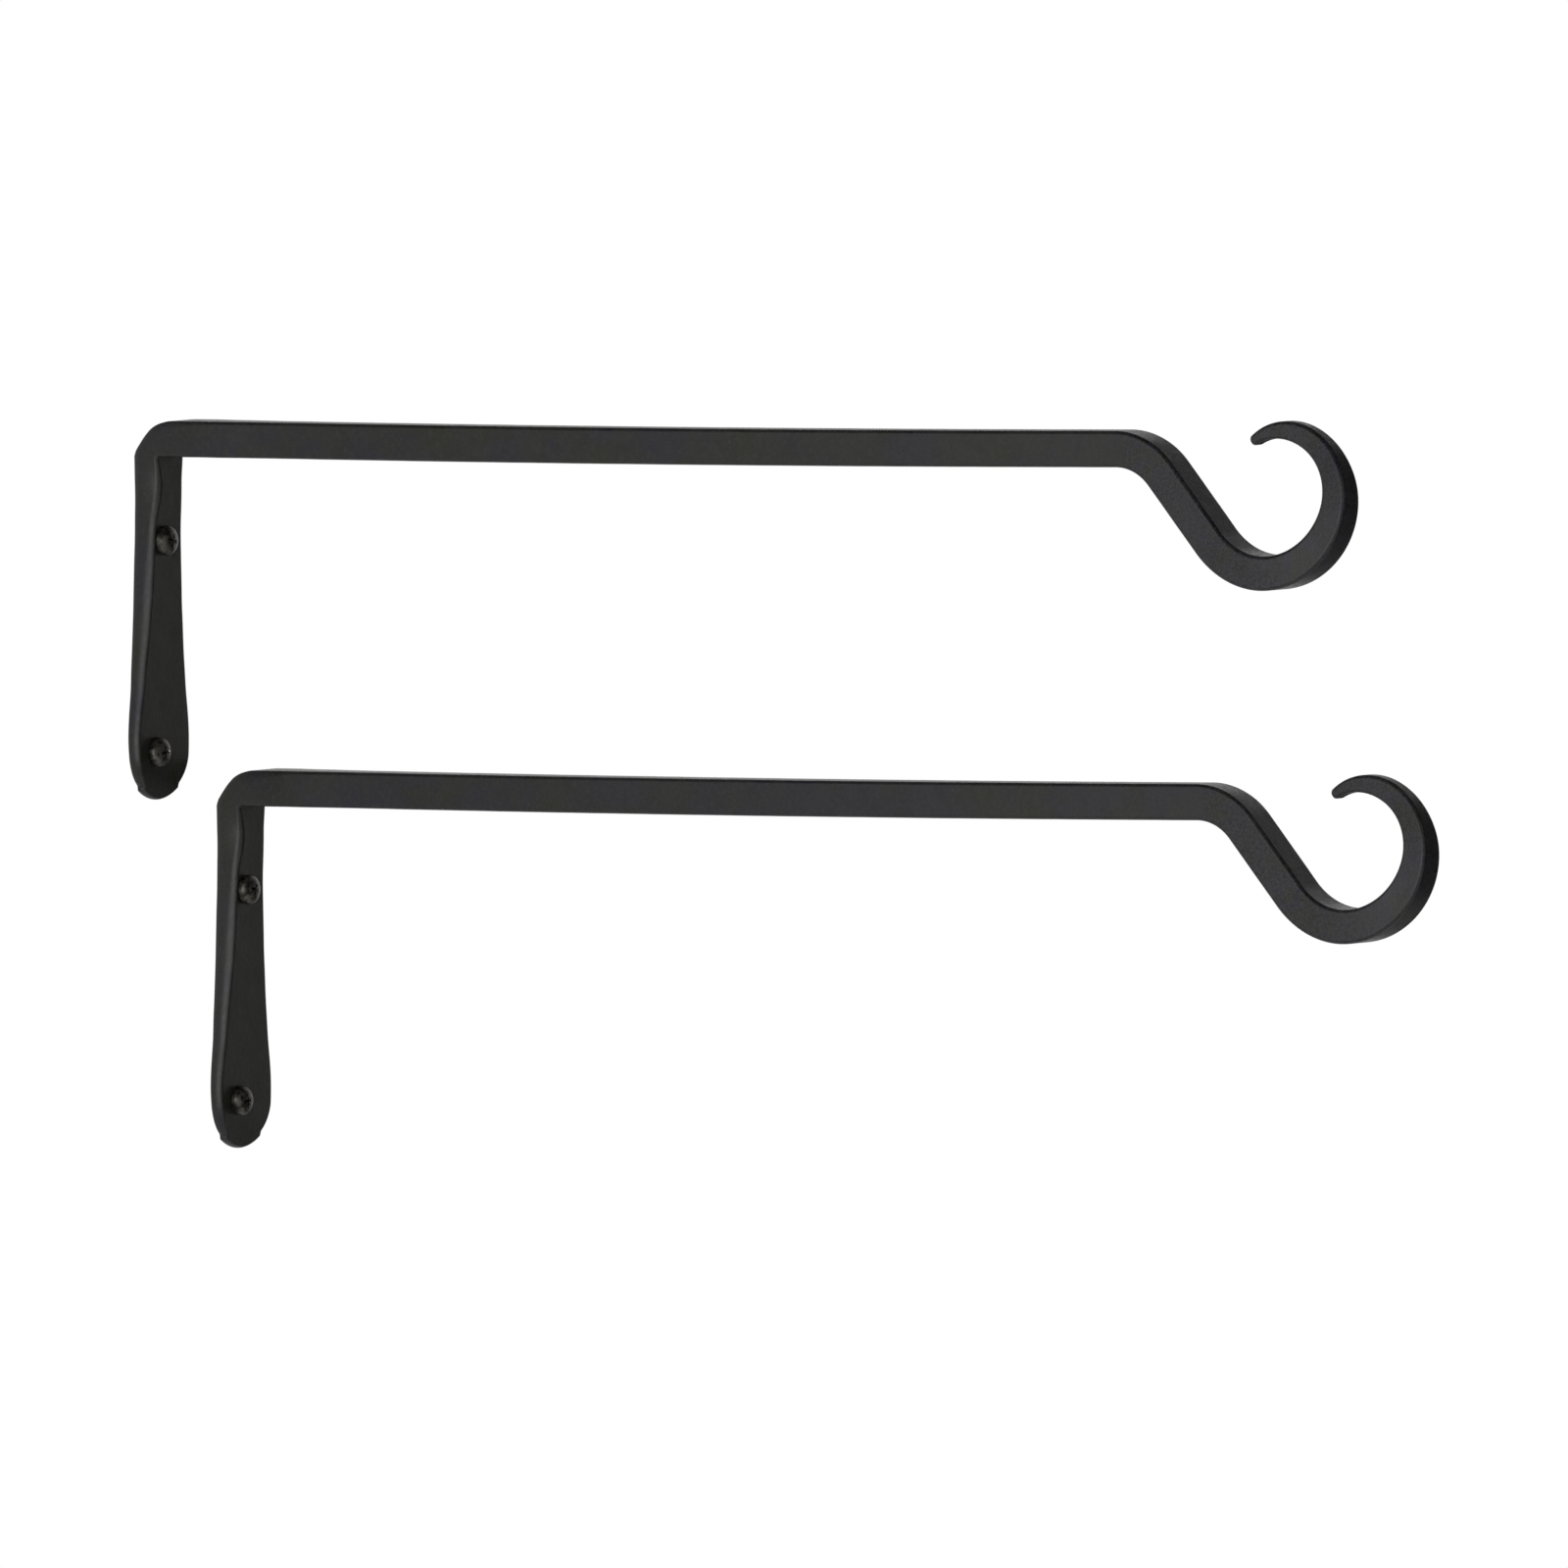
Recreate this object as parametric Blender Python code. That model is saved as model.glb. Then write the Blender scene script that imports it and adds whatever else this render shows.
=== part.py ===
"""A pair of forged wall hangers for plants, each one square bar and its two screws.

Metres, +Z up. The wall is the plane X = 0 and each arm reaches out along +X. The origin is on the
back of the upper hanger's leg, midway between its two screws.
"""

import math

import bmesh
import bpy
import numpy as np

# The bar, and how far the hanger reaches from the wall
BAR_SIZE = 0.0095
REACH = 0.381
EDGE_RADIUS = 0.0010
ARM_SAG = 0.0006
# How far along the arm the bar keeps narrowing, from the width of the leg's root to its own
ARM_FLARE_LENGTH = 0.030

# The leg, which is hammered thinner and wider towards its rounded end
LEG_HEIGHT = 0.0994
LEG_ROOT_THICKNESS = 0.0073
LEG_SHOULDER_THICKNESS = 0.0078
LEG_NECK_THICKNESS = 0.0064
LEG_MIDDLE_THICKNESS = 0.0054
LEG_FLARE_THICKNESS = 0.0039
PADDLE_THICKNESS = 0.0033
PADDLE_END_THICKNESS = 0.0017
LEG_ROOT_WIDTH = 0.0126
LEG_SHOULDER_WIDTH = 0.0126
LEG_MIDDLE_WIDTH = 0.0157
LEG_FLARE_WIDTH = 0.0203
PADDLE_WIDTH = 0.0238
PADDLE_END_HEIGHT = 0.0112
PADDLE_BROAD_HEIGHT = 0.0158
LEG_FLARE_HEIGHT = 0.0305
LEG_SHOULDER_DROP = 0.0070
LEG_CROWN_DEPTH = 0.0009
LEG_CROWN_SHARE = 0.5
# How far the rounded end stands aside from the arm's middle line, towards +Y
PADDLE_SWAY = 0.0007

# The hammered corner between the leg and the arm
CORNER_CUT = 0.0086
INNER_FILLET = 0.0008

# The bend down from the arm, the slope and the hook, at the middle of the bar
BEND_RADIUS = 0.0181
DROP_DEGREES = 50.0
SLOPE_LENGTH = 0.0223
HOOK_HEEL_RADIUS = 0.0239
HOOK_BOTTOM_RADIUS = 0.0218
HOOK_RISE_RADIUS = 0.0230
HOOK_SIDE_RADIUS = 0.0162
HOOK_CROWN_RADIUS = 0.0173
HOOK_TIP_RADIUS = 0.0147
HOOK_TURN_DEGREES = 213.1

# The hook's taper, in the plane of the bend and across it
HOOK_BOTTOM_THICKNESS = 0.0090
HOOK_SIDE_THICKNESS = 0.0073
HOOK_CROWN_THICKNESS = 0.0060
TIP_THICKNESS = 0.0028
HOOK_BOTTOM_WIDTH = 0.0102
HOOK_SIDE_WIDTH = 0.0073
HOOK_CROWN_WIDTH = 0.0048
TIP_WIDTH = 0.0045

# The screws
HEAD_DIAMETER = 0.0077
HEAD_HEIGHT = 0.0030
HEAD_RIM_HEIGHT = 0.0009
SHANK_DIAMETER = 0.0042
THREAD_ROOT_DIAMETER = 0.0029
THREAD_PITCH = 0.0018
SCREW_LENGTH = 0.030
PLAIN_SHANK_LENGTH = 0.0085
POINT_LENGTH = 0.0055
TIP_DIAMETER = 0.0006
RECESS_SPAN = 0.0044
RECESS_WING_WIDTH = 0.0011
RECESS_DEPTH = 0.0017
RECESS_FLOOR_SHARE = 0.45
HOLE_CLEARANCE = 0.0004
SEAT_GAP = 0.0003
CUT_OVERRUN = 0.002

# Where the screws are, down from the arm's top, of LEG_HEIGHT
UPPER_SCREW_SHARE = 0.3166
LOWER_SCREW_SHARE = 0.8724
# How far each screw is from the leg's middle line, towards -Y
UPPER_SCREW_ASIDE = 0.0020
LOWER_SCREW_ASIDE = 0.0027

# Where the lower hanger is, from the upper one
PAIR_SIDE_STEP = 0.0339
PAIR_DROP = 0.0930

# How finely the curves are divided
CORNER_STEPS = 2
LEG_STEPS = 16
BEND_STEPS = 7
HOOK_STEPS = 34
ARM_STEPS = 8
FLARE_STEPS = 5
HEAD_SIDES = 24
SHANK_SIDES = 12
THREAD_ROWS = 4

# Heights: the origin is midway between the screws of the upper leg
SCREW_SPACING = (LOWER_SCREW_SHARE - UPPER_SCREW_SHARE) * LEG_HEIGHT
ARM_TOP = UPPER_SCREW_SHARE * LEG_HEIGHT + SCREW_SPACING / 2
ARM_UNDERSIDE = ARM_TOP - BAR_SIZE
LEG_END = ARM_TOP - LEG_HEIGHT

# The hammered corner's outer line: out from the wall and down from the arm's top, of CORNER_CUT
CORNER_LINE_SHARES = (
    (0.00, 1.15),
    (0.05, 0.95),
    (0.22, 0.70),
    (0.45, 0.42),
    (0.70, 0.20),
    (1.00, 0.07),
    (1.40, 0.00),
)
# The rounded end of the leg: height over its lowest point, of PADDLE_END_HEIGHT, and width, of
# PADDLE_WIDTH, up to the neck share where it goes on as the paddle
PADDLE_NECK_SHARE = 0.98
PADDLE_END_SHARES = (
    (0.00, 0.20),
    (0.04, 0.29),
    (0.10, 0.455),
    (0.17, 0.585),
    (0.23, 0.675),
    (0.33, 0.685),
    (0.42, 0.756),
    (0.52, 0.824),
    (0.65, 0.891),
    (0.82, 0.945),
)
# The hook's rounded tip: how far ahead, of TIP_THICKNESS, and how large, of the tip's own size
TIP_END_SHARES = (
    (0.30, 0.92),
    (0.50, 0.70),
    (0.62, 0.36),
)
# The most of a section's side that its rounded corner may take
CORNER_MOST_SHARE = 0.42
# Where the rings of the screw head's dome are, as angles on a quarter ellipse
DOME_DEGREES = (25, 48, 68, 84)


def smooth_curve(at, places, values):
    """A cubic through values at rising places, level where they turn, so that it never overshoots."""
    places = np.asarray(places, float)
    values = np.asarray(values, float)
    steps = np.diff(places)
    rises = np.diff(values) / steps
    slopes = np.concatenate([rises[:1], np.zeros(len(places) - 2), rises[-1:]])
    for k in range(1, len(places) - 1):
        if rises[k - 1] * rises[k] > 0:
            slopes[k] = 2 * rises[k - 1] * rises[k] / (rises[k - 1] + rises[k])
    i = int(np.clip(np.searchsorted(places, at) - 1, 0, len(steps) - 1))
    u = float(np.clip((at - places[i]) / steps[i], 0, 1))
    level = values[i] + (values[i + 1] - values[i]) * u * u * (3 - 2 * u)
    lean = slopes[i] * u * (1 - u) ** 2 - slopes[i + 1] * u * u * (1 - u)
    return float(level + lean * steps[i])


def leg_stations():
    """From the rounded end up to the arm's underside.

    Each is (wall side point, front point, width, crown, sway), as section_ring takes them.
    """
    broad = LEG_END + PADDLE_BROAD_HEIGHT
    rounded = LEG_END + PADDLE_END_HEIGHT
    middle = (broad + ARM_UNDERSIDE) / 2
    neck = (middle + ARM_UNDERSIDE) / 2
    shoulder = ARM_UNDERSIDE - LEG_SHOULDER_DROP
    inner_start = ARM_UNDERSIDE - INNER_FILLET
    heights = [LEG_END + share * PADDLE_END_HEIGHT for share, _ in PADDLE_END_SHARES]
    widths = [share * PADDLE_WIDTH for _, share in PADDLE_END_SHARES]
    flare = LEG_END + LEG_FLARE_HEIGHT
    thickness_places = [LEG_END, rounded, broad, flare, middle, neck, shoulder, inner_start]
    thicknesses = [
        PADDLE_END_THICKNESS,
        PADDLE_THICKNESS,
        PADDLE_THICKNESS,
        LEG_FLARE_THICKNESS,
        LEG_MIDDLE_THICKNESS,
        LEG_NECK_THICKNESS,
        LEG_SHOULDER_THICKNESS,
        LEG_ROOT_THICKNESS,
    ]
    width_places = [rounded, broad, flare, middle, shoulder, inner_start]
    width_values = [
        PADDLE_NECK_SHARE * PADDLE_WIDTH,
        PADDLE_WIDTH,
        LEG_FLARE_WIDTH,
        LEG_MIDDLE_WIDTH,
        LEG_SHOULDER_WIDTH,
        LEG_ROOT_WIDTH,
    ]
    for height in np.linspace(rounded, inner_start, LEG_STEPS + 1):
        heights.append(float(height))
        widths.append(smooth_curve(height, width_places, width_values))
    stations = []
    for height, width in zip(heights, widths):
        thickness = smooth_curve(height, thickness_places, thicknesses)
        sway = smooth_curve(height, [LEG_END, broad, middle], [PADDLE_SWAY, PADDLE_SWAY, 0])
        stations.append(((0, height), (thickness, height), width, 1, sway))
    return stations


def corner_stations():
    """Sections that fan about the inner corner and keep the width of the leg's root."""
    centre = (LEG_ROOT_THICKNESS + INNER_FILLET, ARM_UNDERSIDE - INNER_FILLET)
    last = len(CORNER_LINE_SHARES) - 1
    stations = []
    for k, (out_share, down_share) in enumerate(CORNER_LINE_SHARES):
        outer = (out_share * CORNER_CUT, ARM_TOP - down_share * CORNER_CUT)
        angle = math.pi - (math.pi / 2) * (k + 1) / (last + 1)
        inner = (
            centre[0] + INNER_FILLET * math.cos(angle),
            centre[1] + INNER_FILLET * math.sin(angle),
        )
        crown = 1 - (k + 1) / (last + 1)
        stations.append((outer, inner, LEG_ROOT_WIDTH, crown, 0))
    return stations


def across(point, heading, thickness, width):
    """A section square to the heading: left point, right point, width, no crown and no sway."""
    side = (-math.sin(heading) * thickness / 2, math.cos(heading) * thickness / 2)
    left = (point[0] + side[0], point[1] + side[1])
    right = (point[0] - side[0], point[1] - side[1])
    return (left, right, width, 0, 0)


def hook_stations():
    """The bend, the slope and the hook, from the arm's end at (0, middle of the bar)."""
    drop = math.radians(DROP_DEGREES)
    turn = math.radians(HOOK_TURN_DEGREES)
    quarter = math.pi / 2
    radius_places = [-drop, -quarter / 9, quarter * 4 / 9, quarter, quarter * 14 / 9, turn]
    radii = [
        HOOK_HEEL_RADIUS,
        HOOK_BOTTOM_RADIUS,
        HOOK_RISE_RADIUS,
        HOOK_SIDE_RADIUS,
        HOOK_CROWN_RADIUS,
        HOOK_TIP_RADIUS,
    ]
    taper_places = [-drop, 0, quarter, quarter * 5 / 3, turn]
    thicknesses = [
        BAR_SIZE,
        HOOK_BOTTOM_THICKNESS,
        HOOK_SIDE_THICKNESS,
        HOOK_CROWN_THICKNESS,
        TIP_THICKNESS,
    ]
    widths = [BAR_SIZE, HOOK_BOTTOM_WIDTH, HOOK_SIDE_WIDTH, HOOK_CROWN_WIDTH, TIP_WIDTH]
    x, z, heading = 0.0, ARM_TOP - BAR_SIZE / 2, 0.0
    stations = []
    for _ in range(BEND_STEPS):
        step = -drop / BEND_STEPS
        x += BEND_RADIUS * abs(step) * math.cos(heading + step / 2)
        z += BEND_RADIUS * abs(step) * math.sin(heading + step / 2)
        heading += step
        stations.append(across((x, z), heading, BAR_SIZE, BAR_SIZE))
    x += SLOPE_LENGTH * math.cos(heading)
    z += SLOPE_LENGTH * math.sin(heading)
    stations.append(across((x, z), heading, BAR_SIZE, BAR_SIZE))
    for _ in range(HOOK_STEPS):
        step = (drop + turn) / HOOK_STEPS
        radius = smooth_curve(heading + step / 2, radius_places, radii)
        x += radius * step * math.cos(heading + step / 2)
        z += radius * step * math.sin(heading + step / 2)
        heading += step
        thickness = smooth_curve(heading, taper_places, thicknesses)
        width = smooth_curve(heading, taper_places, widths)
        stations.append(across((x, z), heading, thickness, width))
    for ahead_share, size_share in TIP_END_SHARES:
        tip_x = x + ahead_share * TIP_THICKNESS * math.cos(heading)
        tip_z = z + ahead_share * TIP_THICKNESS * math.sin(heading)
        thickness = size_share * TIP_THICKNESS
        stations.append(across((tip_x, tip_z), heading, thickness, size_share * TIP_WIDTH))
    return stations


def arm_stations(start, end):
    """The arm between two distances from the wall, with its slight sag and its flare at the start."""
    flared = start + ARM_FLARE_LENGTH
    flare_places = [start - ARM_FLARE_LENGTH, start, flared, end]
    flare_widths = [LEG_ROOT_WIDTH, LEG_ROOT_WIDTH, BAR_SIZE, BAR_SIZE]
    places = np.linspace(start, flared, FLARE_STEPS + 1)[:-1].tolist()
    places += np.linspace(flared, end, ARM_STEPS + 1).tolist()
    stations = []
    for x in places:
        share = (x - start) / (end - start)
        low = ARM_SAG * 4 * share * (1 - share)
        width = smooth_curve(x, flare_places, flare_widths)
        stations.append(((x, ARM_TOP - low), (x, ARM_UNDERSIDE - low), width, 0, 0))
    return stations


def section_ring(left, right, width, crown, sway):
    """A rounded rectangle through the left and right points, as rows of x, y, z.

    A crown of 1 draws its two right-hand corners out along the sides, as the leg's hammered edges
    are, and 0 leaves all four corners alike. The sway is how far it stands aside, towards +Y.
    """
    left = np.array(left, float)
    right = np.array(right, float)
    thickness = float(np.linalg.norm(left - right))
    toward_left = (left - right) / thickness
    middle = (left + right) / 2
    plain = min(EDGE_RADIUS, CORNER_MOST_SHARE * thickness, CORNER_MOST_SHARE * width)
    crown_length = plain + (LEG_CROWN_SHARE * thickness - plain) * crown
    crown_depth = plain + (min(LEG_CROWN_DEPTH, plain) - plain) * crown
    rows = []
    for sign_u, sign_v, first in ((1, 1, 0.0), (-1, 1, 0.5), (-1, -1, 1.0), (1, -1, 1.5)):
        along = plain if sign_u > 0 else crown_length
        aside = plain if sign_u > 0 else crown_depth
        for k in range(CORNER_STEPS + 1):
            angle = math.pi * (first + k / (2 * CORNER_STEPS))
            u = sign_u * (thickness / 2 - along) + along * math.cos(angle)
            v = sign_v * (width / 2 - aside) + aside * math.sin(angle)
            at = middle + toward_left * u
            rows.append((at[0], v + sway, at[1]))
    return rows


def new_material(name, color, roughness, metallic):
    material = bpy.data.materials.new(name)
    material.use_nodes = True
    shader = material.node_tree.nodes["Principled BSDF"]
    shader.inputs["Base Color"].default_value = (*color, 1.0)
    shader.inputs["Roughness"].default_value = roughness
    shader.inputs["Metallic"].default_value = metallic
    return material


def object_from(name, points, faces, material, parent=None):
    """A smooth-shaded object with one closed body, its faces turned out."""
    mesh = bpy.data.meshes.new(name)
    mesh.from_pydata([tuple(map(float, p)) for p in points], [], faces)
    work = bmesh.new()
    work.from_mesh(mesh)
    bmesh.ops.recalc_face_normals(work, faces=work.faces)
    work.to_mesh(mesh)
    work.free()
    mesh.shade_smooth()
    mesh.set_sharp_from_angle(angle=math.radians(35))
    if material is not None:
        mesh.materials.append(material)
    made = bpy.data.objects.new(name, mesh)
    bpy.context.scene.collection.objects.link(made)
    made.parent = parent
    return made


def skin_rings(rings):
    """Points and faces of a closed skin over rings that have as many points each, with flat ends."""
    sides = len(rings[0])
    points = [point for ring in rings for point in ring]
    faces = []
    for k in range(len(rings) - 1):
        for i in range(sides):
            j = (i + 1) % sides
            faces.append((k * sides + i, k * sides + j, (k + 1) * sides + j, (k + 1) * sides + i))
    faces.append(tuple(range(sides)))
    faces.append(tuple((len(rings) - 1) * sides + i for i in range(sides)))
    return points, faces


def leg_thickness_at(height):
    """How thick the leg is at this height, read from the same stations as its skin."""
    stations = leg_stations()
    heights = [station[0][1] for station in stations]
    return float(np.interp(height, heights, [station[1][0] for station in stations]))


def cutter_cylinder(name, x_from, x_to, place, diameter, parent):
    """A hidden cylinder along X, centred on a (y, z) place, that a Boolean takes away."""
    rings = []
    for x in (x_from, x_to):
        ring = []
        for i in range(HEAD_SIDES):
            turn = 2 * math.pi * i / HEAD_SIDES
            y = place[0] + diameter / 2 * math.cos(turn)
            ring.append((x, y, place[1] + diameter / 2 * math.sin(turn)))
        rings.append(ring)
    cutter = object_from(name, *skin_rings(rings), None, parent)
    cutter.hide_render = True
    cutter.display_type = "WIRE"
    return cutter


def cut_from(body, cutter):
    cut = body.modifiers.new(cutter.name, "BOOLEAN")
    cut.operation = "DIFFERENCE"
    cut.solver = "EXACT"
    cut.object = cutter


def make_bar(name, parent, material, screw_places):
    """The whole forging: leg, corner, arm, bend, slope and hook as one skin, with its two holes."""
    hook = hook_stations()
    furthest = max(max(left[0], right[0]) for left, right, _, _, _ in hook)
    arm_end = REACH - furthest
    corner = corner_stations()
    start = corner[-1][0][0] + BAR_SIZE / 2
    stations = leg_stations() + corner + arm_stations(start, arm_end)
    for left, right, *rest in hook:
        stations.append(((left[0] + arm_end, left[1]), (right[0] + arm_end, right[1]), *rest))
    rings = [section_ring(*station) for station in stations]
    bar = object_from(name, *skin_rings(rings), material, parent)
    diameter = SHANK_DIAMETER + 2 * HOLE_CLEARANCE
    for k, place in enumerate(screw_places):
        far = leg_thickness_at(place[1]) + CUT_OVERRUN
        hole = cutter_cylinder(f"{name}_hole_{k + 1}", -CUT_OVERRUN, far, place, diameter, parent)
        cut_from(bar, hole)
    return bar


def thread_radius(depth):
    """(core radius, crest radius) at this depth below the head, down to the gimlet point."""
    core = THREAD_ROOT_DIAMETER / 2
    crest = SHANK_DIAMETER / 2
    into_thread = depth - PLAIN_SHANK_LENGTH
    if into_thread < 0:
        return crest, crest
    fade = min(into_thread / (THREAD_PITCH * 0.75), 1)
    core = crest + (core - crest) * fade
    from_tip = SCREW_LENGTH - depth
    if from_tip < POINT_LENGTH:
        share = max(from_tip / POINT_LENGTH, 0)
        core = TIP_DIAMETER / 2 + (core - TIP_DIAMETER / 2) * share
        crest = TIP_DIAMETER / 2 + (crest - TIP_DIAMETER / 2) * share**0.7
    return core, crest


def make_screw(name, parent, material, place):
    """A pan-head wood screw along X: turned head with a cross recess, and a helical thread."""
    aside, height = place
    radius = HEAD_DIAMETER / 2
    seat = leg_thickness_at(height + radius) + SEAT_GAP
    points = []
    faces = []

    def turned_ring(x, ring_radius, sides):
        first = len(points)
        for i in range(sides):
            turn = 2 * math.pi * i / sides
            y = aside + ring_radius * math.cos(turn)
            points.append((x, y, height + ring_radius * math.sin(turn)))
        return [first + i for i in range(sides)]

    # The head: rim, then a dome that is a quarter ellipse, closed by a small flat
    rings = [turned_ring(seat, radius, HEAD_SIDES)]
    rings.append(turned_ring(seat + HEAD_RIM_HEIGHT, radius, HEAD_SIDES))
    dome_height = HEAD_HEIGHT - HEAD_RIM_HEIGHT
    for degrees in DOME_DEGREES:
        turn = math.radians(degrees)
        x = seat + HEAD_RIM_HEIGHT + dome_height * math.sin(turn)
        rings.append(turned_ring(x, radius * math.cos(turn), HEAD_SIDES))
    for lower, upper in zip(rings[:-1], rings[1:]):
        for i in range(HEAD_SIDES):
            j = (i + 1) % HEAD_SIDES
            faces.append((lower[i], lower[j], upper[j], upper[i]))
    faces.append(tuple(rings[-1]))

    # The flat under the head, down to the shank, which has fewer sides
    neck = turned_ring(seat, SHANK_DIAMETER / 2, SHANK_SIDES)
    per_side = HEAD_SIDES // SHANK_SIDES
    for i in range(SHANK_SIDES):
        rim = [rings[0][(per_side * i + k) % HEAD_SIDES] for k in range(per_side + 1)]
        faces.append(tuple([*rim, neck[(i + 1) % SHANK_SIDES], neck[i]]))

    # The thread: rows of points that climb one pitch a turn, so that a row follows the crest
    row_step = THREAD_PITCH / THREAD_ROWS
    first_depth = PLAIN_SHANK_LENGTH - THREAD_PITCH
    rows_left = (SCREW_LENGTH - first_depth - THREAD_PITCH) / row_step
    row_count = int(rows_left) // THREAD_ROWS * THREAD_ROWS
    grid = []
    for row in range(row_count + 1):
        line = []
        for i in range(SHANK_SIDES):
            turn = 2 * math.pi * i / SHANK_SIDES
            depth = first_depth + row_step * row + THREAD_PITCH * i / SHANK_SIDES
            core, crest = thread_radius(depth)
            at = crest if row % THREAD_ROWS == THREAD_ROWS // 2 else core
            line.append(len(points))
            y = aside + at * math.cos(turn)
            points.append((seat - depth, y, height + at * math.sin(turn)))
        grid.append(line)
    for row in range(row_count + 1 - THREAD_ROWS):
        for i in range(SHANK_SIDES - 1):
            faces.append((grid[row][i], grid[row][i + 1], grid[row + 1][i + 1], grid[row + 1][i]))
        over = row + THREAD_ROWS
        if over + 1 <= row_count:
            faces.append((grid[row][-1], grid[over][0], grid[over + 1][0], grid[row + 1][-1]))
    for row in range(row_count + 1 - THREAD_ROWS, row_count):
        for i in range(SHANK_SIDES - 1):
            faces.append((grid[row][i], grid[row][i + 1], grid[row + 1][i + 1], grid[row + 1][i]))

    # The start of the thread meets the plain shank: its first row climbs away from a level ring
    for i in range(SHANK_SIDES - 1):
        faces.append((neck[i], neck[i + 1], grid[0][i + 1], grid[0][i]))
    climb = [grid[row][0] for row in range(THREAD_ROWS + 1)]
    faces.append(tuple([neck[-1], neck[0], *climb, grid[0][-1]]))

    # The gimlet point closes the last rows on one point
    tip = len(points)
    points.append((seat - SCREW_LENGTH, aside, height))
    for i in range(SHANK_SIDES - 1):
        faces.append((grid[row_count][i], grid[row_count][i + 1], tip))
    last_climb = [grid[row][-1] for row in range(row_count - THREAD_ROWS, row_count + 1)]
    faces.append(tuple([grid[row_count][0], *last_climb, tip]))

    screw = object_from(name, points, faces, material, parent)

    # The cross recess, narrower at its floor
    top = seat + HEAD_HEIGHT + CUT_OVERRUN
    floor = seat + HEAD_HEIGHT - RECESS_DEPTH
    reach = RECESS_SPAN / 2
    wing = RECESS_WING_WIDTH / 2
    outline = []
    for quarter in range(4):
        turn = quarter * math.pi / 2
        for along, off in ((reach, -wing), (reach, wing), (wing, wing)):
            y = along * math.cos(turn) - off * math.sin(turn)
            outline.append((y, along * math.sin(turn) + off * math.cos(turn)))
    spread = (1 - RECESS_FLOOR_SHARE) * (RECESS_DEPTH + CUT_OVERRUN) / RECESS_DEPTH
    top_share = RECESS_FLOOR_SHARE + spread
    cross_rings = []
    for x, share in ((floor, RECESS_FLOOR_SHARE), (top, top_share)):
        cross_rings.append([(x, aside + share * y, height + share * z) for y, z in outline])
    recess = object_from(f"{name}_recess", *skin_rings(cross_rings), None, parent)
    recess.hide_render = True
    recess.display_type = "WIRE"
    cut_from(screw, recess)
    return screw


def make_hanger(word, side_step, drop, iron, screw_steel):
    """One hanger, placed by an empty on the wall."""
    place = bpy.data.objects.new(f"{word}_hanger", None)
    place.empty_display_size = BAR_SIZE
    place.location = (0, side_step, -drop)
    bpy.context.scene.collection.objects.link(place)
    top = (-UPPER_SCREW_ASIDE, SCREW_SPACING / 2)
    bottom = (-LOWER_SCREW_ASIDE, -SCREW_SPACING / 2)
    make_bar(f"{word}_hanger_bar", place, iron, (top, bottom))
    make_screw(f"{word}_top_screw", place, screw_steel, top)
    make_screw(f"{word}_bottom_screw", place, screw_steel, bottom)


for old in list(bpy.data.objects):
    bpy.data.objects.remove(old)

black_iron = new_material("black_iron", (0.030, 0.029, 0.030), 0.55, 0.0)
dark_bronze = new_material("dark_bronze", (0.045, 0.036, 0.028), 0.35, 0.9)
make_hanger("upper", 0, 0, black_iron, dark_bronze)
make_hanger("lower", PAIR_SIDE_STEP, PAIR_DROP, black_iron, dark_bronze)
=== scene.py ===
# %% [markdown]
# # A pair of forged plant hangers
# Each hanger is one square iron bar. Its wall end is hammered flat and wide into a leg for two
# screws, a square corner turns it into a straight arm, and its far end bends down and is drawn out
# into an open hook. The packed CAD model gives every size and place. In this lesson each piece is
# made again over its CAD node as a finer surface, and is given its finish. Everything is in metres,
# the wall is the plane x = 0, the arms reach out along +x and z is up.

import math

import bmesh
import bpy
import numpy as np
from mathutils import Matrix


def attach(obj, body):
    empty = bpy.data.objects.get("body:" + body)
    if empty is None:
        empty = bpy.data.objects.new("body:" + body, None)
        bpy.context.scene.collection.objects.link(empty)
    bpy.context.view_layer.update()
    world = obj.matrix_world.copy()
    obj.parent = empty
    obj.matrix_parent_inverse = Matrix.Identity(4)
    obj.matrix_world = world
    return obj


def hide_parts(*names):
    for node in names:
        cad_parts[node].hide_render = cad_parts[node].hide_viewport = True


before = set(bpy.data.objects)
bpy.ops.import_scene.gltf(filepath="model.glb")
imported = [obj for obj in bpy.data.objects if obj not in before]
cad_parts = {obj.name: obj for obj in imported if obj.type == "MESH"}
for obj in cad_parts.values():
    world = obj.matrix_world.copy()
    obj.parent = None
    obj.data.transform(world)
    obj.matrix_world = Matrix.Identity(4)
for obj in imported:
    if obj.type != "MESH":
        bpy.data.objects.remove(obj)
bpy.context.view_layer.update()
print("CAD nodes:", ", ".join(sorted(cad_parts)))

# %% [markdown]
# ## The bar's sizes
# These are the CAD bar's sizes, repeated because this script reads only the packed model. The bar's
# section changes along it: square in the arm, thin and wide in the leg, finer towards the hook's
# tip. A few more sizes are for what the CAD leaves out, such as the roll of the hammered edges.

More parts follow.
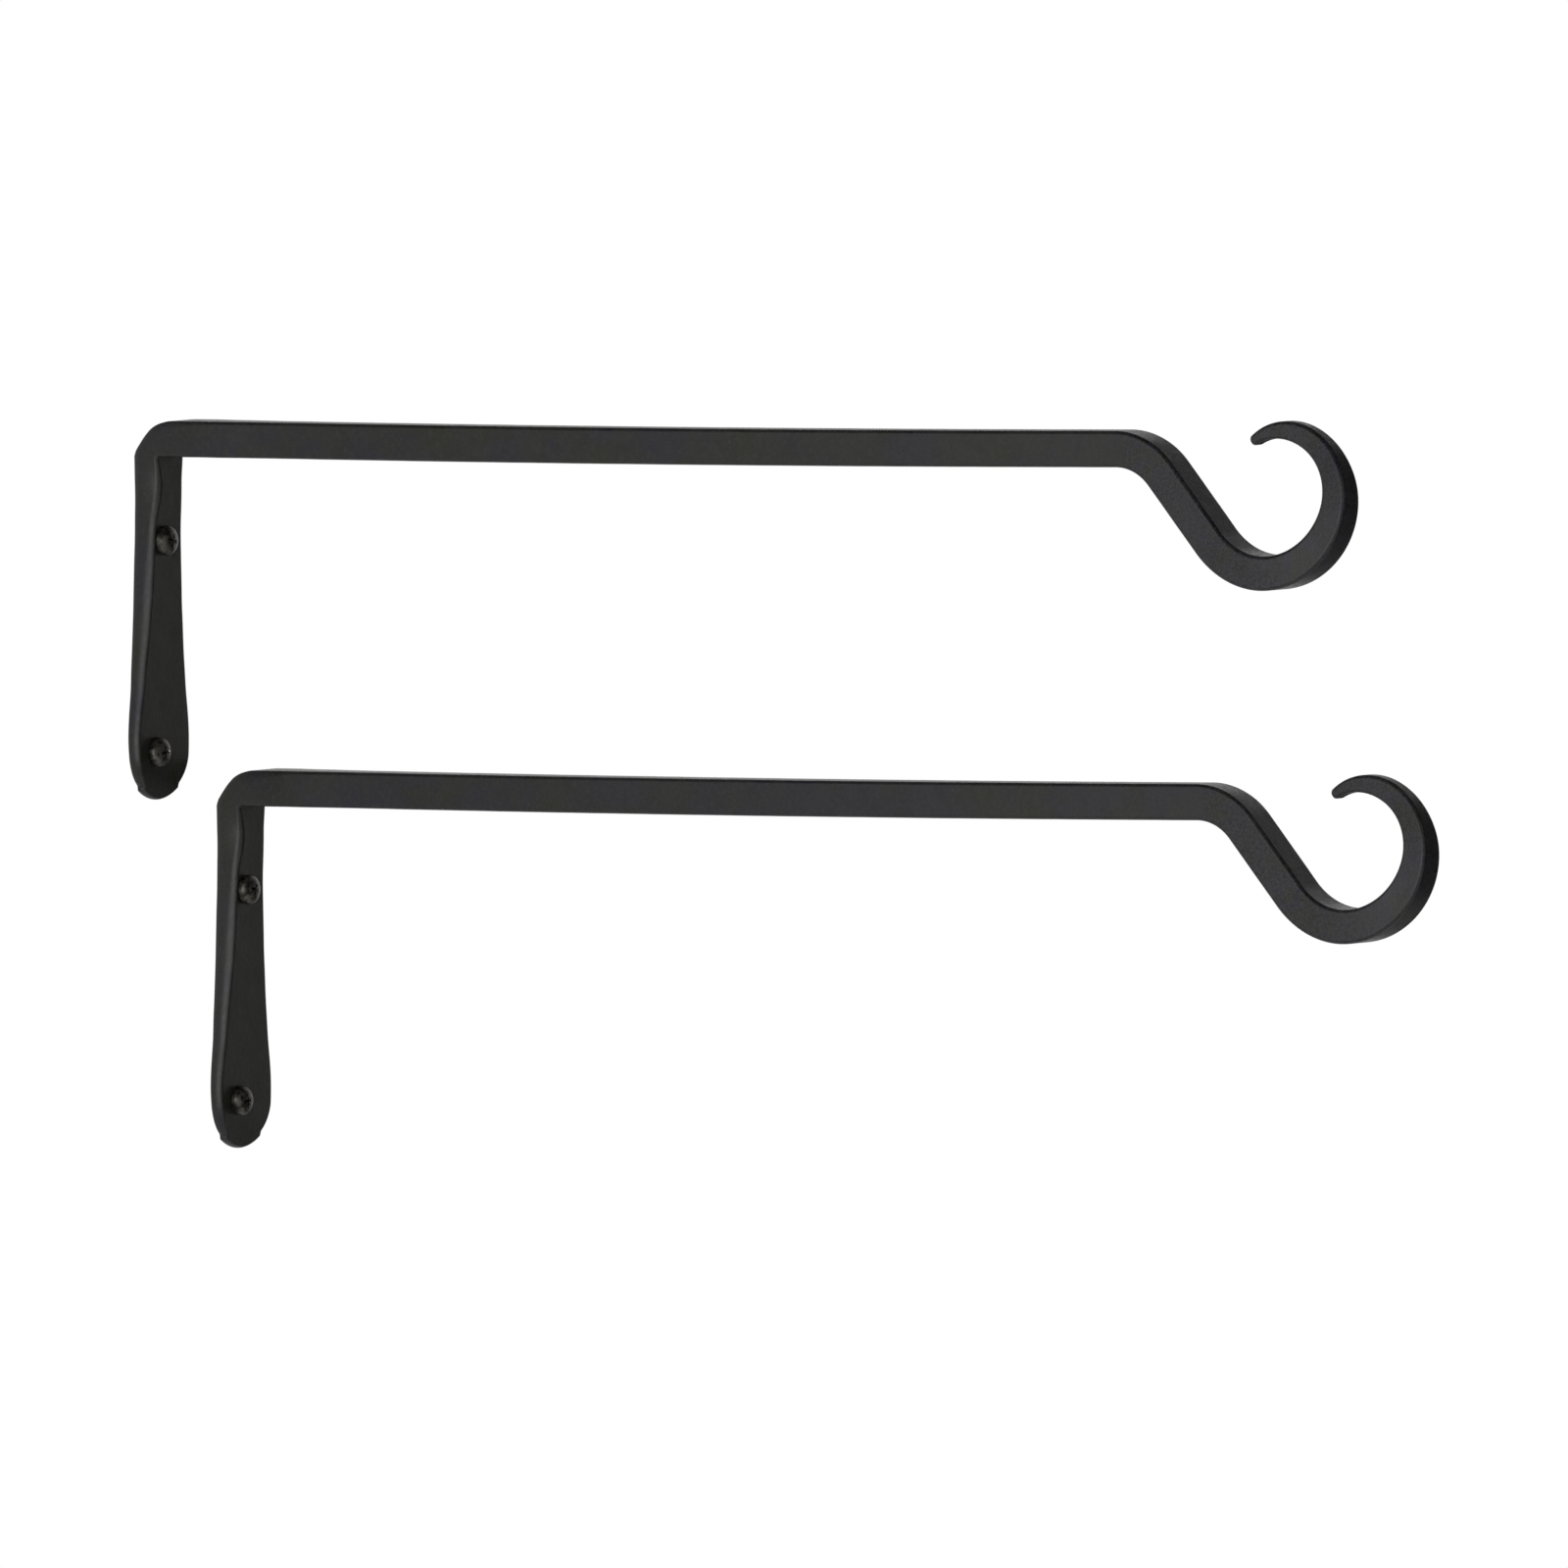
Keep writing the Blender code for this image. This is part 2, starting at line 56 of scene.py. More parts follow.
# %% Sizes of the leg
LEG_HEIGHT = 0.0994
LEG_ROOT_THICKNESS, LEG_SHOULDER_THICKNESS = 0.0073, 0.0078
LEG_NECK_THICKNESS, LEG_MIDDLE_THICKNESS = 0.0064, 0.0054
LEG_FLARE_THICKNESS, PADDLE_THICKNESS, PADDLE_END_THICKNESS = 0.0039, 0.0033, 0.0017
LEG_ROOT_WIDTH, LEG_SHOULDER_WIDTH = 0.0126, 0.0126
LEG_MIDDLE_WIDTH, LEG_FLARE_WIDTH, PADDLE_WIDTH = 0.0157, 0.0203, 0.0238
PADDLE_END_HEIGHT, PADDLE_BROAD_HEIGHT, LEG_FLARE_HEIGHT = 0.0112, 0.0158, 0.0305
PADDLE_END_RADIUS, PADDLE_CORNER_HEIGHT, PADDLE_SWAY = 0.0137, 0.0026, 0.0007
LEG_SHOULDER_DROP = 0.0070
# Heights and half widths of the paddle's side, between its nipped corner and its broadest place.
PADDLE_SIDE = np.array([
    (0.0037, 0.00815), (0.0047, 0.0090), (0.0058, 0.0098), (0.0073, 0.0106), (0.0092, 0.01125),
    (PADDLE_END_HEIGHT, 0.01166),
])
print(f"leg {1000 * LEG_HEIGHT:.1f} mm high and {1000 * PADDLE_WIDTH:.1f} mm at its widest")

# %% Sizes of the corner, arm and hook
BAR_SIZE, REACH, EDGE_RADIUS = 0.0095, 0.381, 0.0010
ARM_SAG, ARM_FLARE_LENGTH = 0.0006, 0.030
CORNER_CUT, INNER_FILLET = 0.0086, 0.0005
# The corner's outer line, right and down from the square corner. The end rows only lead it.
CORNER_LINE_SHARES = np.array([
    (0.00, 1.60), (0.00, 1.15), (0.05, 0.95), (0.22, 0.70), (0.45, 0.42),
    (0.70, 0.20), (1.00, 0.07), (1.40, 0.00), (1.80, 0.00),
])
BEND_RADIUS, DROP, SLOPE_LENGTH = 0.0181, math.radians(50.0), 0.0223
HOOK_TURN = math.radians(213.1)
# Headings along the hook, from the slope's to the tip's, with the hook's radii there.
HOOK_RADIUS_HEADINGS = (-DROP, math.radians(-10), math.radians(40), math.radians(90),
                        math.radians(140), HOOK_TURN)
HOOK_RADII = (0.0239, 0.0218, 0.0230, 0.0162, 0.0173, 0.0147)
# Headings with the hook's thicknesses and widths there, and the length that rounds off its tip.
HOOK_TAPER_HEADINGS = (-DROP, 0, math.radians(90), math.radians(150), HOOK_TURN)
HOOK_THICKNESSES = (BAR_SIZE, 0.0090, 0.0073, 0.0060, 0.0028)
HOOK_WIDTHS = (BAR_SIZE, 0.0102, 0.0073, 0.0048, 0.0045)
TIP_LENGTH_SHARE = 0.62
print(f"hook turns {math.degrees(DROP + HOOK_TURN):.1f} degrees")

# %% Heights of the leg, and the places of the screws and of the lower hanger
UPPER_SCREW_SHARE, LOWER_SCREW_SHARE = 0.3166, 0.8724
UPPER_SCREW_ASIDE, LOWER_SCREW_ASIDE = 0.0020, 0.0027
PAIR_SIDE_STEP, PAIR_DROP = 0.0339, 0.0930
SCREW_SPACING = (LOWER_SCREW_SHARE - UPPER_SCREW_SHARE) * LEG_HEIGHT
ARM_TOP = UPPER_SCREW_SHARE * LEG_HEIGHT + SCREW_SPACING / 2
ARM_UNDERSIDE = ARM_TOP - BAR_SIZE
LEG_END = ARM_TOP - LEG_HEIGHT
INNER_START = ARM_UNDERSIDE - INNER_FILLET
LEG_BROAD = LEG_END + PADDLE_BROAD_HEIGHT
LEG_FLARE = LEG_END + LEG_FLARE_HEIGHT
LEG_MIDDLE = (LEG_BROAD + ARM_UNDERSIDE) / 2
LEG_NECK = (LEG_MIDDLE + ARM_UNDERSIDE) / 2
LEG_SHOULDER = ARM_UNDERSIDE - LEG_SHOULDER_DROP
print(f"the arm's top is at {1000 * ARM_TOP:.1f} mm")

# %% [markdown]
# ## Smooth change along the bar
# A smith's hammer leaves no steps: thickness and width flow from one size to the next. Straight
# lines between the sizes would show as creases in the gloss. A cubic curve through them flows, and
# one that is level wherever the sizes turn never swells past them. The hammered front is also a
# little fuller than the plain CAD face, by at most 0.4 mm.


# %% A curve through sizes
def eased(share):
    """Goes from 0 to 1 as the share does, level at both ends: 3 s s - 2 s s s."""
    return share * share * (3 - 2 * share)


def smooth_curve(at, places, values):
    """Cubic pieces through values at rising places.

    Each slope is the harmonic mean of the rises before and after it, or level where they part.
    """
    places, values = np.asarray(places, float), np.asarray(values, float)
    steps = np.diff(places)
    rises = np.diff(values) / steps
    before, after = rises[:-1], rises[1:]
    flows = before * after > 0
    means = 2 * before * after / np.where(flows, before + after, 1.0)
    slopes = np.concatenate([rises[:1], np.where(flows, means, 0.0), rises[-1:]])
    i = np.clip(np.searchsorted(places, at) - 1, 0, len(steps) - 1)
    u = np.clip((at - places[i]) / steps[i], 0, 1)
    level = values[i] + (values[i + 1] - values[i]) * eased(u)
    lean = slopes[i] * u * (1 - u) ** 2 - slopes[i + 1] * u * u * (1 - u)
    return level + lean * steps[i]


print("halfway the curve is at", smooth_curve(0.5, [0, 1], [0, 1]))

# %% Thickness of the leg
LEG_FULLNESS = np.array([0.0001, 0.0002, 0.00025, 0.0004, 0.0004, 0.00025, 0.0002, 0.0004])


def leg_thickness(height, fullness=LEG_FULLNESS):
    """Thickness at each height: the CAD leg's and its fuller front's, made smooth."""
    places = [LEG_END, LEG_END + PADDLE_END_HEIGHT, LEG_BROAD, LEG_FLARE,
              LEG_MIDDLE, LEG_NECK, LEG_SHOULDER, INNER_START]
    sizes = [PADDLE_END_THICKNESS, PADDLE_THICKNESS, PADDLE_THICKNESS, LEG_FLARE_THICKNESS,
             LEG_MIDDLE_THICKNESS, LEG_NECK_THICKNESS, LEG_SHOULDER_THICKNESS, LEG_ROOT_THICKNESS]
    return smooth_curve(np.asarray(height, float), places, sizes + fullness)


print("leg thickness at the screws in mm:",
      np.round(1000 * leg_thickness([SCREW_SPACING / 2, -SCREW_SPACING / 2]), 2))

# %% [markdown]
# ## The leg's outline
# The leg ends in a round paddle: a shallow arc whose two ends are nipped into soft corners, then
# sides that swell and run up to a narrow shoulder. An outline given as half a width for each height
# fails at the very end, where the line runs level. So the outline is walked by its own length
# instead, which also gives the direction of its edge at every point.

# %% Outline of the leg, sharp
ARC_POINTS, SIDE_POINTS = 200, 1600


def sharp_outline():
    """Heights and half widths: first the arc, (R - R cos t, R sin t), and then the side."""
    turn = np.linspace(0, math.acos(1 - PADDLE_CORNER_HEIGHT / PADDLE_END_RADIUS), ARC_POINTS)
    arc_height = PADDLE_END_RADIUS * (1 - np.cos(turn))
    arc_half = PADDLE_END_RADIUS * np.sin(turn)
    places = np.concatenate([
        [PADDLE_CORNER_HEIGHT], PADDLE_SIDE[:, 0],
        [PADDLE_BROAD_HEIGHT, LEG_FLARE_HEIGHT, LEG_MIDDLE - LEG_END, LEG_SHOULDER - LEG_END,
         INNER_START - LEG_END]])
    widths = np.array([
        PADDLE_WIDTH, LEG_FLARE_WIDTH, LEG_MIDDLE_WIDTH, LEG_SHOULDER_WIDTH, LEG_ROOT_WIDTH])
    halves = np.concatenate([arc_half[-1:], PADDLE_SIDE[:, 1], widths / 2])
    side_height = np.linspace(places[0], places[-1], SIDE_POINTS)[1:]
    height = np.concatenate([arc_height, side_height])
    return height, np.concatenate([arc_half, smooth_curve(side_height, places, halves)])


print("points in the outline:", len(sharp_outline()[0]))

# %% Outline of the leg, softened
FINE_ALLOWANCE, WALK_STEP, ROW_SPACING = 0.00003, 0.00005, 0.0008
SOFTENING_REACH, SOFTENING_SPREAD = 7, 2.5
CLOSE_LENGTH, CLOSE_SHARE = 0.016, 0.3


def leg_outline():
    """Heights, half widths and edge directions along half the outline, a point for each spacing.

    A running average along the line softens the nipped corners. The line is first mirrored about
    the leg's middle, so that its end stays level. Round the end the points lie closer together.
    """
    height, half = sharp_outline()
    walked = np.concatenate([[0], np.cumsum(np.hypot(np.diff(height), np.diff(half)))])
    fine = np.arange(0, walked[-1], WALK_STEP)
    height, half = np.interp(fine, walked, height), np.interp(fine, walked, half)
    reach = SOFTENING_REACH
    weight = np.exp(-np.linspace(-SOFTENING_SPREAD, SOFTENING_SPREAD, 2 * reach + 1) ** 2 / 2)
    weight /= weight.sum()
    tail_height = height[-1] + np.arange(1, reach + 1) * (height[-1] - height[-2])
    tail_half = np.full(reach, half[-1])
    height = np.convolve(np.concatenate([height[reach:0:-1], height, tail_height]), weight, "valid")
    half = np.convolve(np.concatenate([-half[reach:0:-1], half, tail_half]), weight, "valid")
    along_height, along_half = np.gradient(height), np.gradient(half)
    along_height[0], along_half[0] = 0.0, 1.0
    size = np.hypot(along_height, along_half)
    close = np.where(fine < CLOSE_LENGTH, ROW_SPACING * CLOSE_SHARE, ROW_SPACING)
    rows = np.cumsum(1 / close) * WALK_STEP
    pick = np.searchsorted(rows, np.arange(0, rows[-1], 1.0))
    pick = np.unique(np.append(pick, len(fine) - 1))
    return (LEG_END + height[pick] - height[0], half[pick] - FINE_ALLOWANCE,
            along_half[pick] / size[pick], along_height[pick] / size[pick])


leg_height, leg_half, leg_lean, leg_square = leg_outline()
print("rows in the leg:", len(leg_height))

# %% [markdown]
# ## The bar's path
# The bar could be a curve object with a bevel, but its section changes all the way along, and at
# the corner the sections fan out about the sharp inner edge. So the path is kept as rows of two
# points each: one on the outer line of the bar and one on its inner line, both in the plane of the
# bend. The hook is walked heading by heading: each step goes ahead by its radius times its turn.

# %% Path of the hook
BEND_ROWS, SLOPE_ROWS, HOOK_ROWS, TIP_ROWS = 36, 16, 200, 12


def hook_path():
    """Middle x and z, heading, thickness and half width of the bend, slope and hook."""
    bend = np.linspace(0, -DROP, BEND_ROWS)
    hook = np.linspace(-DROP, HOOK_TURN, HOOK_ROWS)
    turns = (hook[1:] + hook[:-1]) / 2
    heading = np.concatenate([bend, np.full(SLOPE_ROWS, -DROP), hook[1:]])
    ahead = np.concatenate([
        np.full(BEND_ROWS - 1, BEND_RADIUS * DROP / (BEND_ROWS - 1)),
        np.full(SLOPE_ROWS, SLOPE_LENGTH / SLOPE_ROWS),
        smooth_curve(turns, HOOK_RADIUS_HEADINGS, HOOK_RADII) * np.diff(hook),
    ])
    middle = (heading[1:] + heading[:-1]) / 2
    x = np.concatenate([[0], np.cumsum(ahead * np.cos(middle))])
    z = np.concatenate([[0], np.cumsum(ahead * np.sin(middle))]) + ARM_TOP - BAR_SIZE / 2
    taper = np.where(np.arange(len(heading)) < BEND_ROWS + SLOPE_ROWS, -DROP, heading)
    thick = smooth_curve(taper, HOOK_TAPER_HEADINGS, HOOK_THICKNESSES)
    half = smooth_curve(taper, HOOK_TAPER_HEADINGS, HOOK_WIDTHS) / 2
    return x, z, heading, thick, half


def rounded_tip(x, z, heading, thick, half):
    """Adds rows past the end, q from 0 to 1, whose size falls as the square root of 1 - q * q."""
    q = np.sin(np.linspace(0, math.pi / 2, TIP_ROWS + 1))[1:]
    ahead, share = TIP_LENGTH_SHARE * thick[-1] * q, np.sqrt(np.maximum(1 - q * q, 0))
    return (np.append(x, x[-1] + ahead * math.cos(heading[-1])),
            np.append(z, z[-1] + ahead * math.sin(heading[-1])),
            np.append(heading, np.full(TIP_ROWS, heading[-1])),
            np.append(thick, thick[-1] * share), np.append(half, half[-1] * share))


hook_x, hook_z, hook_heading, hook_thick, hook_half = rounded_tip(*hook_path())
hook_outer = hook_x + np.abs(np.sin(hook_heading)) * hook_thick / 2
arm_end = REACH - hook_outer.max()
print("the arm ends", round(1000 * arm_end, 2), "mm from the wall")

# %% [markdown]
# ## Joining leg, corner, arm and hook
# All the rows are strung into one path from the paddle's end to the hook's tip, because the real
# bar has no joint. Where the hammer struck the outer corner flat, the outer line cuts across. The
# corner keeps the leg's width, and the arm's start narrows from it to the square bar.

# %% Rows of the corner and the arm
CORNER_ROWS, ARM_ROWS = 36, 150


def corner_rows():
    """Outer and inner points of the sections that fan about the inner corner."""
    share = np.linspace(0, 1, CORNER_ROWS + 1)[1:]
    index = np.arange(len(CORNER_LINE_SHARES))
    place = 1 + share * (len(index) - 3)
    out = smooth_curve(place, index, CORNER_LINE_SHARES[:, 0]) * CORNER_CUT
    down = smooth_curve(place, index, CORNER_LINE_SHARES[:, 1]) * CORNER_CUT
    angle = math.pi * (1 - share / 2)
    inner = np.stack([leg_thickness(INNER_START) + INNER_FILLET * (1 + np.cos(angle)),
                      INNER_START + INNER_FILLET * np.sin(angle)], -1)
    return np.stack([out, ARM_TOP - down], -1), inner


def arm_rows(start):
    """Outer and inner points and half widths of the arm, which sags by 4 s (1 - s) at a share s."""
    along = np.linspace(0, 1, ARM_ROWS)
    low = ARM_SAG * 4 * along * (1 - along)
    x = start + (arm_end - start) * along
    flared = eased(np.clip((x - start) / ARM_FLARE_LENGTH, 0, 1))
    half = (LEG_ROOT_WIDTH + (BAR_SIZE - LEG_ROOT_WIDTH) * flared) / 2
    return np.stack([x, ARM_TOP - low], -1), np.stack([x, ARM_UNDERSIDE - low], -1), half


print("the cut corner starts", round(1000 * (ARM_TOP - corner_rows()[0][0, 1]), 1), "mm down")

# %% The whole path
BACK_ROLL_FADE, SHOULDER_ROLL, SHOULDER_PINCH = 0.018, 0.15, 0.0010


def whole_path():
    """What each row of the bar needs, by name.

    Outer and inner point, half width, how far each edge is rolled (0 to 1), sway aside, pinch of
    the sides, and the edge's direction, its lean along the leg and its square share across it.
    """
    leg_outer = np.stack([np.zeros_like(leg_height), leg_height], -1)
    leg_inner = np.stack([leg_thickness(leg_height), leg_height], -1)
    corner_outer, corner_inner = corner_rows()
    corner_half = np.full(CORNER_ROWS, LEG_ROOT_WIDTH / 2)
    arm_outer, arm_inner, arm_half = arm_rows(corner_outer[-1, 0] + BAR_SIZE / 2)
    side = np.stack([-np.sin(hook_heading), np.cos(hook_heading)], -1) * hook_thick[:, None] / 2
    middle = np.stack([hook_x + arm_end, hook_z], -1)
    outer = np.concatenate([leg_outer, corner_outer, arm_outer, (middle + side)[1:]])
    half = np.concatenate([leg_half, corner_half, arm_half, hook_half[1:]])
    after_leg = np.zeros(len(half) - len(leg_half))
    leg_only = {
        "front_roll": smooth_curve(
            leg_height, [LEG_MIDDLE, LEG_SHOULDER, INNER_START], [1.0, SHOULDER_ROLL, 0.0]),
        "sway": smooth_curve(leg_height, [LEG_END, LEG_BROAD, LEG_MIDDLE, ARM_UNDERSIDE],
                             [PADDLE_SWAY, PADDLE_SWAY, 0, 0]),
        "pinch": smooth_curve(leg_height, [LEG_END, LEG_NECK, LEG_SHOULDER, INNER_START],
                              [0, 0, SHOULDER_PINCH, 0]),
        "lean": leg_lean,
    }
    return {
        "outer": outer, "half": half,
        "inner": np.concatenate([leg_inner, corner_inner, arm_inner, (middle - side)[1:]]),
        "back_roll": 1 - eased(np.clip((outer[:, 0] - CORNER_CUT) / BACK_ROLL_FADE, 0, 1)),
        "square": np.concatenate([leg_square, after_leg + 1]),
        **{name: np.concatenate([values, after_leg]) for name, values in leg_only.items()},
    }


path = whole_path()
print(len(path["half"]), "rows in the bar")

# %% [markdown]
# ## The bar's section
# A square section with plain rounded corners suits the arm. In the leg, hammering has made the
# sides into barrels: each turns slowly away to the wall and slowly to the front, then quickly into
# the front face, and that slow turn is what catches a long soft highlight. A corner is therefore
# described by its radius at each angle, broad at first and tight at the end, and its shape follows
# by adding up radius times cosine and radius times sine. Just under the arm the sides are also
# pinched in a little towards the front, where the hammer closed the inner corner.

# %% One rolled corner
ROLL_FADE, ROLL_STEPS = 12.0, 721


def rolled_corner(angles, radius, roll, whole, turn):
    """Distance along the side and depth inside it at each angle of a corner, and its whole length.

    To the plain corner, radius * sin and radius * (1 - cos), a roll of 1 adds a broad one whose
    radius fades about the turn in degrees, made so long that both together take the whole length.
    """
    fine = np.linspace(0, math.pi / 2, ROLL_STEPS)
    fade = np.clip((np.degrees(fine) - turn + ROLL_FADE / 2) / ROLL_FADE, 0, 1)
    share = 1 - eased(fade)
    step = fine[1] - fine[0]
    along_sum = np.cumsum(share * np.cos(fine)) * step
    deep_sum = np.cumsum(share * np.sin(fine)) * step
    broad = roll * (whole - radius) / along_sum[-1]
    along = radius * np.sin(angles) + broad * np.interp(angles, fine, along_sum)
    deep = radius * (1 - np.cos(angles)) + broad * np.interp(angles, fine, deep_sum)
    return along, deep, radius + broad * along_sum[-1]


print("length of a plain corner:", rolled_corner(0.0, 1.0, 0.0, 2.0, 20.0)[2])

# %% Half a section
FACE_SHARES = np.array([0.0, 0.2, 0.4, 0.6, 0.78, 0.9, 0.97])
SIDE_SHARES = np.array([0.04, 0.2, 0.4, 0.55, 0.7, 0.82, 0.91, 0.97])
BACK_ANGLES = np.radians([0, 2, 4, 7, 10, 13, 16, 20, 26, 38, 52, 65, 78, 90])[::-1]
FRONT_ANGLES = np.radians([0, 2, 4, 7, 10, 13, 16, 20, 24, 29, 36, 45, 55, 66, 78, 90])
LEG_BACK_EDGE, LEG_FRONT_EDGE = 0.0005, 0.0007
LEG_BACK_SHARE, LEG_FRONT_SHARE = 0.36, 0.58
LEG_BACK_TURN, LEG_FRONT_TURN = 20.0, 29.0
EDGE_THICK_SHARE, EDGE_HALF_SHARE = 0.42, 0.84


def half_section(thick, half, front_roll, back_roll):
    """Place across the thickness, depth inside the outline and share of the width, for half a ring.

    The points run out over the outer face, round the back corner, along the side, round the front
    corner and in over the inner face.
    """
    plain = np.minimum(EDGE_RADIUS, np.minimum(EDGE_THICK_SHARE * thick, EDGE_HALF_SHARE * half))
    back = plain + (np.minimum(LEG_BACK_EDGE, plain) - plain) * back_roll
    front = plain + (np.minimum(LEG_FRONT_EDGE, plain) - plain) * front_roll
    hammered = np.minimum(thick, LEG_SHOULDER_THICKNESS)
    back_along, back_deep, back_whole = rolled_corner(
        BACK_ANGLES, back, back_roll, LEG_BACK_SHARE * hammered, LEG_BACK_TURN)
    front_along, front_deep, front_whole = rolled_corner(
        FRONT_ANGLES, front, front_roll, LEG_FRONT_SHARE * hammered, LEG_FRONT_TURN)
    side_from, side_to = thick / 2 - back_whole, -thick / 2 + front_whole
    face, side = np.ones(len(FACE_SHARES)), np.zeros(len(SIDE_SHARES))
    across = np.concatenate([
        thick / 2 * face, side_from + back_along, side_from + (side_to - side_from) * SIDE_SHARES,
        side_to - front_along, -thick / 2 * face], 1)
    deep = np.concatenate([
        back_deep[:, :1] * face, back_deep, thick * side, front_deep, front_deep[:, -1:] * face], 1)
    edges = np.ones(len(BACK_ANGLES) + len(SIDE_SHARES) + len(FRONT_ANGLES))
    return across, deep, np.concatenate([FACE_SHARES, edges, FACE_SHARES[::-1]])


corner_marks = np.concatenate([
    0 * FACE_SHARES, np.sin(2 * BACK_ANGLES), 0 * SIDE_SHARES, np.sin(2 * FRONT_ANGLES),
    0 * FACE_SHARES])
print("points in half a ring:", len(corner_marks))

# %% All the sections
LEAST_CLIMB, LEAST_THICKNESS, PINCH_POWER = 0.000002, 1e-9, 2.6


def section_points(outer, inner, half, front_roll, back_roll, sway, pinch, lean, square):
    """The bar's surface as a grid: a row for each section and a column for each point round it.

    A point lies at u across the thickness and at a depth inside the outline. Inside the outline
    means half - depth * square across the bar and depth * lean along it, so the rounded end turns
    over its edge as the sides do. The pinch adds a depth that grows from the back to the front as a
    power of the way across. In the leg each row is kept a hair above the row before it, so that no
    face folds or shrinks to a line, and the front is as thick as the leg is at that height.
    """
    across = outer - inner
    thick = np.linalg.norm(across, axis=1)[:, None]
    safe = np.maximum(thick, LEAST_THICKNESS)
    toward = across / safe
    middle = (outer + inner) / 2
    half, front_roll, back_roll, sway, pinch, lean, square = (
        values[:, None] for values in (half, front_roll, back_roll, sway, pinch, lean, square))
    u, deep, shares = half_section(thick, half, front_roll, back_roll)
    deep = deep + pinch * np.clip(0.5 - u / safe, 0, 1) ** PINCH_POWER
    v = shares * np.maximum(half - deep * square, 0)
    x = middle[:, :1] + toward[:, :1] * u
    z = middle[:, 1:] + toward[:, 1:] * u + deep * lean
    leg = slice(0, len(leg_height))
    climb = LEAST_CLIMB * np.arange(len(leg_height))[:, None]
    z[leg] = np.maximum.accumulate(z[leg] - climb, axis=0) + climb
    x[leg] *= leg_thickness(z[leg]) / thick[leg]
    there = np.stack([x, sway + v, z], -1)
    back_again = np.stack([x, sway - v, z], -1)[:, -2:0:-1]
    return np.concatenate([there, back_again], 1)


bar_points = section_points(**path)
print("grid of the bar:", bar_points.shape[:2])

# %% [markdown]
# ## Hammer marks
# The real bar isn't ruler straight: each face dips by a few hundredths of a millimetre where the
# hammer fell. Noise from a texture would need a displacement pass; a few sine waves of unrelated
# lengths, added up over the surface, give broad shallow dips with no seam. They push inwards only,
# so that the bar stays within its CAD size, and they are deepest in the leg and the corner. The
# flat back on the wall has none, and they fade out on the hook's small tip.

# %% Press the marks into the bar
MARK_DEPTH, ARM_MARK_SHARE = 0.00009, 0.45
MARK_WAVES = np.array([
    (410, 130, 250), (-230, 90, 480), (150, -210, 330), (620, 60, -170), (90, 350, 610)])
MARK_PHASES = np.array([0.3, 1.9, 4.1, 2.6, 5.2])
FORGED_REACH, SMALL_RING = 0.02, 0.003
FLAT_BACK, LEAST_RING, ASIDE_SHARE = 0.000001, 0.0001, 0.6


def hammer_depth(points):
    """The mean sine of five plane waves over x, y and z, brought to 0..1; 1 is pressed deepest."""
    return 0.5 + np.sin(points @ MARK_WAVES.T + MARK_PHASES).mean(-1) * 0.5


forged = np.exp(-np.maximum(bar_points[..., 0] - FORGED_REACH, 0) / FORGED_REACH)
away = bar_points - bar_points.mean(1, keepdims=True)
press = hammer_depth(bar_points) * MARK_DEPTH * (ARM_MARK_SHARE + (1 - ARM_MARK_SHARE) * forged)
press *= np.clip(np.linalg.norm(away, axis=-1) / SMALL_RING, 0, 1)
press *= bar_points[..., 0] > FLAT_BACK
# Each point moves towards the middle of its own ring, and less so aside.
away[..., 1] *= ASIDE_SHARE
length = np.maximum(np.linalg.norm(away, axis=-1, keepdims=True), LEAST_RING)
bar_points = bar_points - away / length * press[..., None]
print("deepest mark", round(1e6 * press.max()), "thousandths of a mm")

# %% [markdown]
# ## Marks that the finish reads
# The coat isn't alike all over. It is a little lighter and smoother in patches where a corner turns
# most, it is grainier on all that was bent and drawn out past the arm, it is duller on the hook's
# outer face, and it leans to olive on the leg's front. A pattern in space would spill over the
# edges, so each of these places gets a mark of its own on the grid, up to 1 where it applies and 0
# elsewhere.

# %% Mark the rows and columns of the bar
UPTURN_FADE, WORKED_FADE_ROWS = 0.5, 12
rows, columns = np.arange(bar_points.shape[0]), np.arange(bar_points.shape[1])
face_columns = len(FACE_SHARES) + 1
outer_face = (columns < face_columns) | (columns > len(columns) - face_columns)
inner_face = np.abs(columns - len(columns) // 2) < face_columns
past_arm = rows - len(rows) + len(hook_heading)
row_heading = np.concatenate([np.zeros(len(rows) - len(hook_heading) + 1), hook_heading[1:]])
everywhere = np.ones(bar_points.shape[:2])
bar_marks = {
    "arris": np.concatenate([corner_marks, corner_marks[-2:0:-1]]) * everywhere,
    "drawn": np.clip(row_heading / UPTURN_FADE, 0, 1)[:, None] * outer_face,
    "worked": np.clip(past_arm / WORKED_FADE_ROWS, 0, 1)[:, None] * everywhere,
    "leg_front": (rows < len(leg_height))[:, None] * inner_face,
}
print("marks:", ", ".join(bar_marks))

# %% [markdown]
# ## From a grid to a closed piece
# A grid of points becomes a mesh by naming four neighbours for each face. The rings close on
# themselves; the first and the last row are drawn together, and merging the points that coincide
# closes them as poles or seams. The sign of the volume tells whether the faces point outwards.

# %% Make a mesh from a grid
MERGE_DISTANCE = 2e-7


def put_in_scene(name, data):
    """A new object that shows the data."""
    made = bpy.data.objects.new(name, data)
    bpy.context.scene.collection.objects.link(made)
    return made


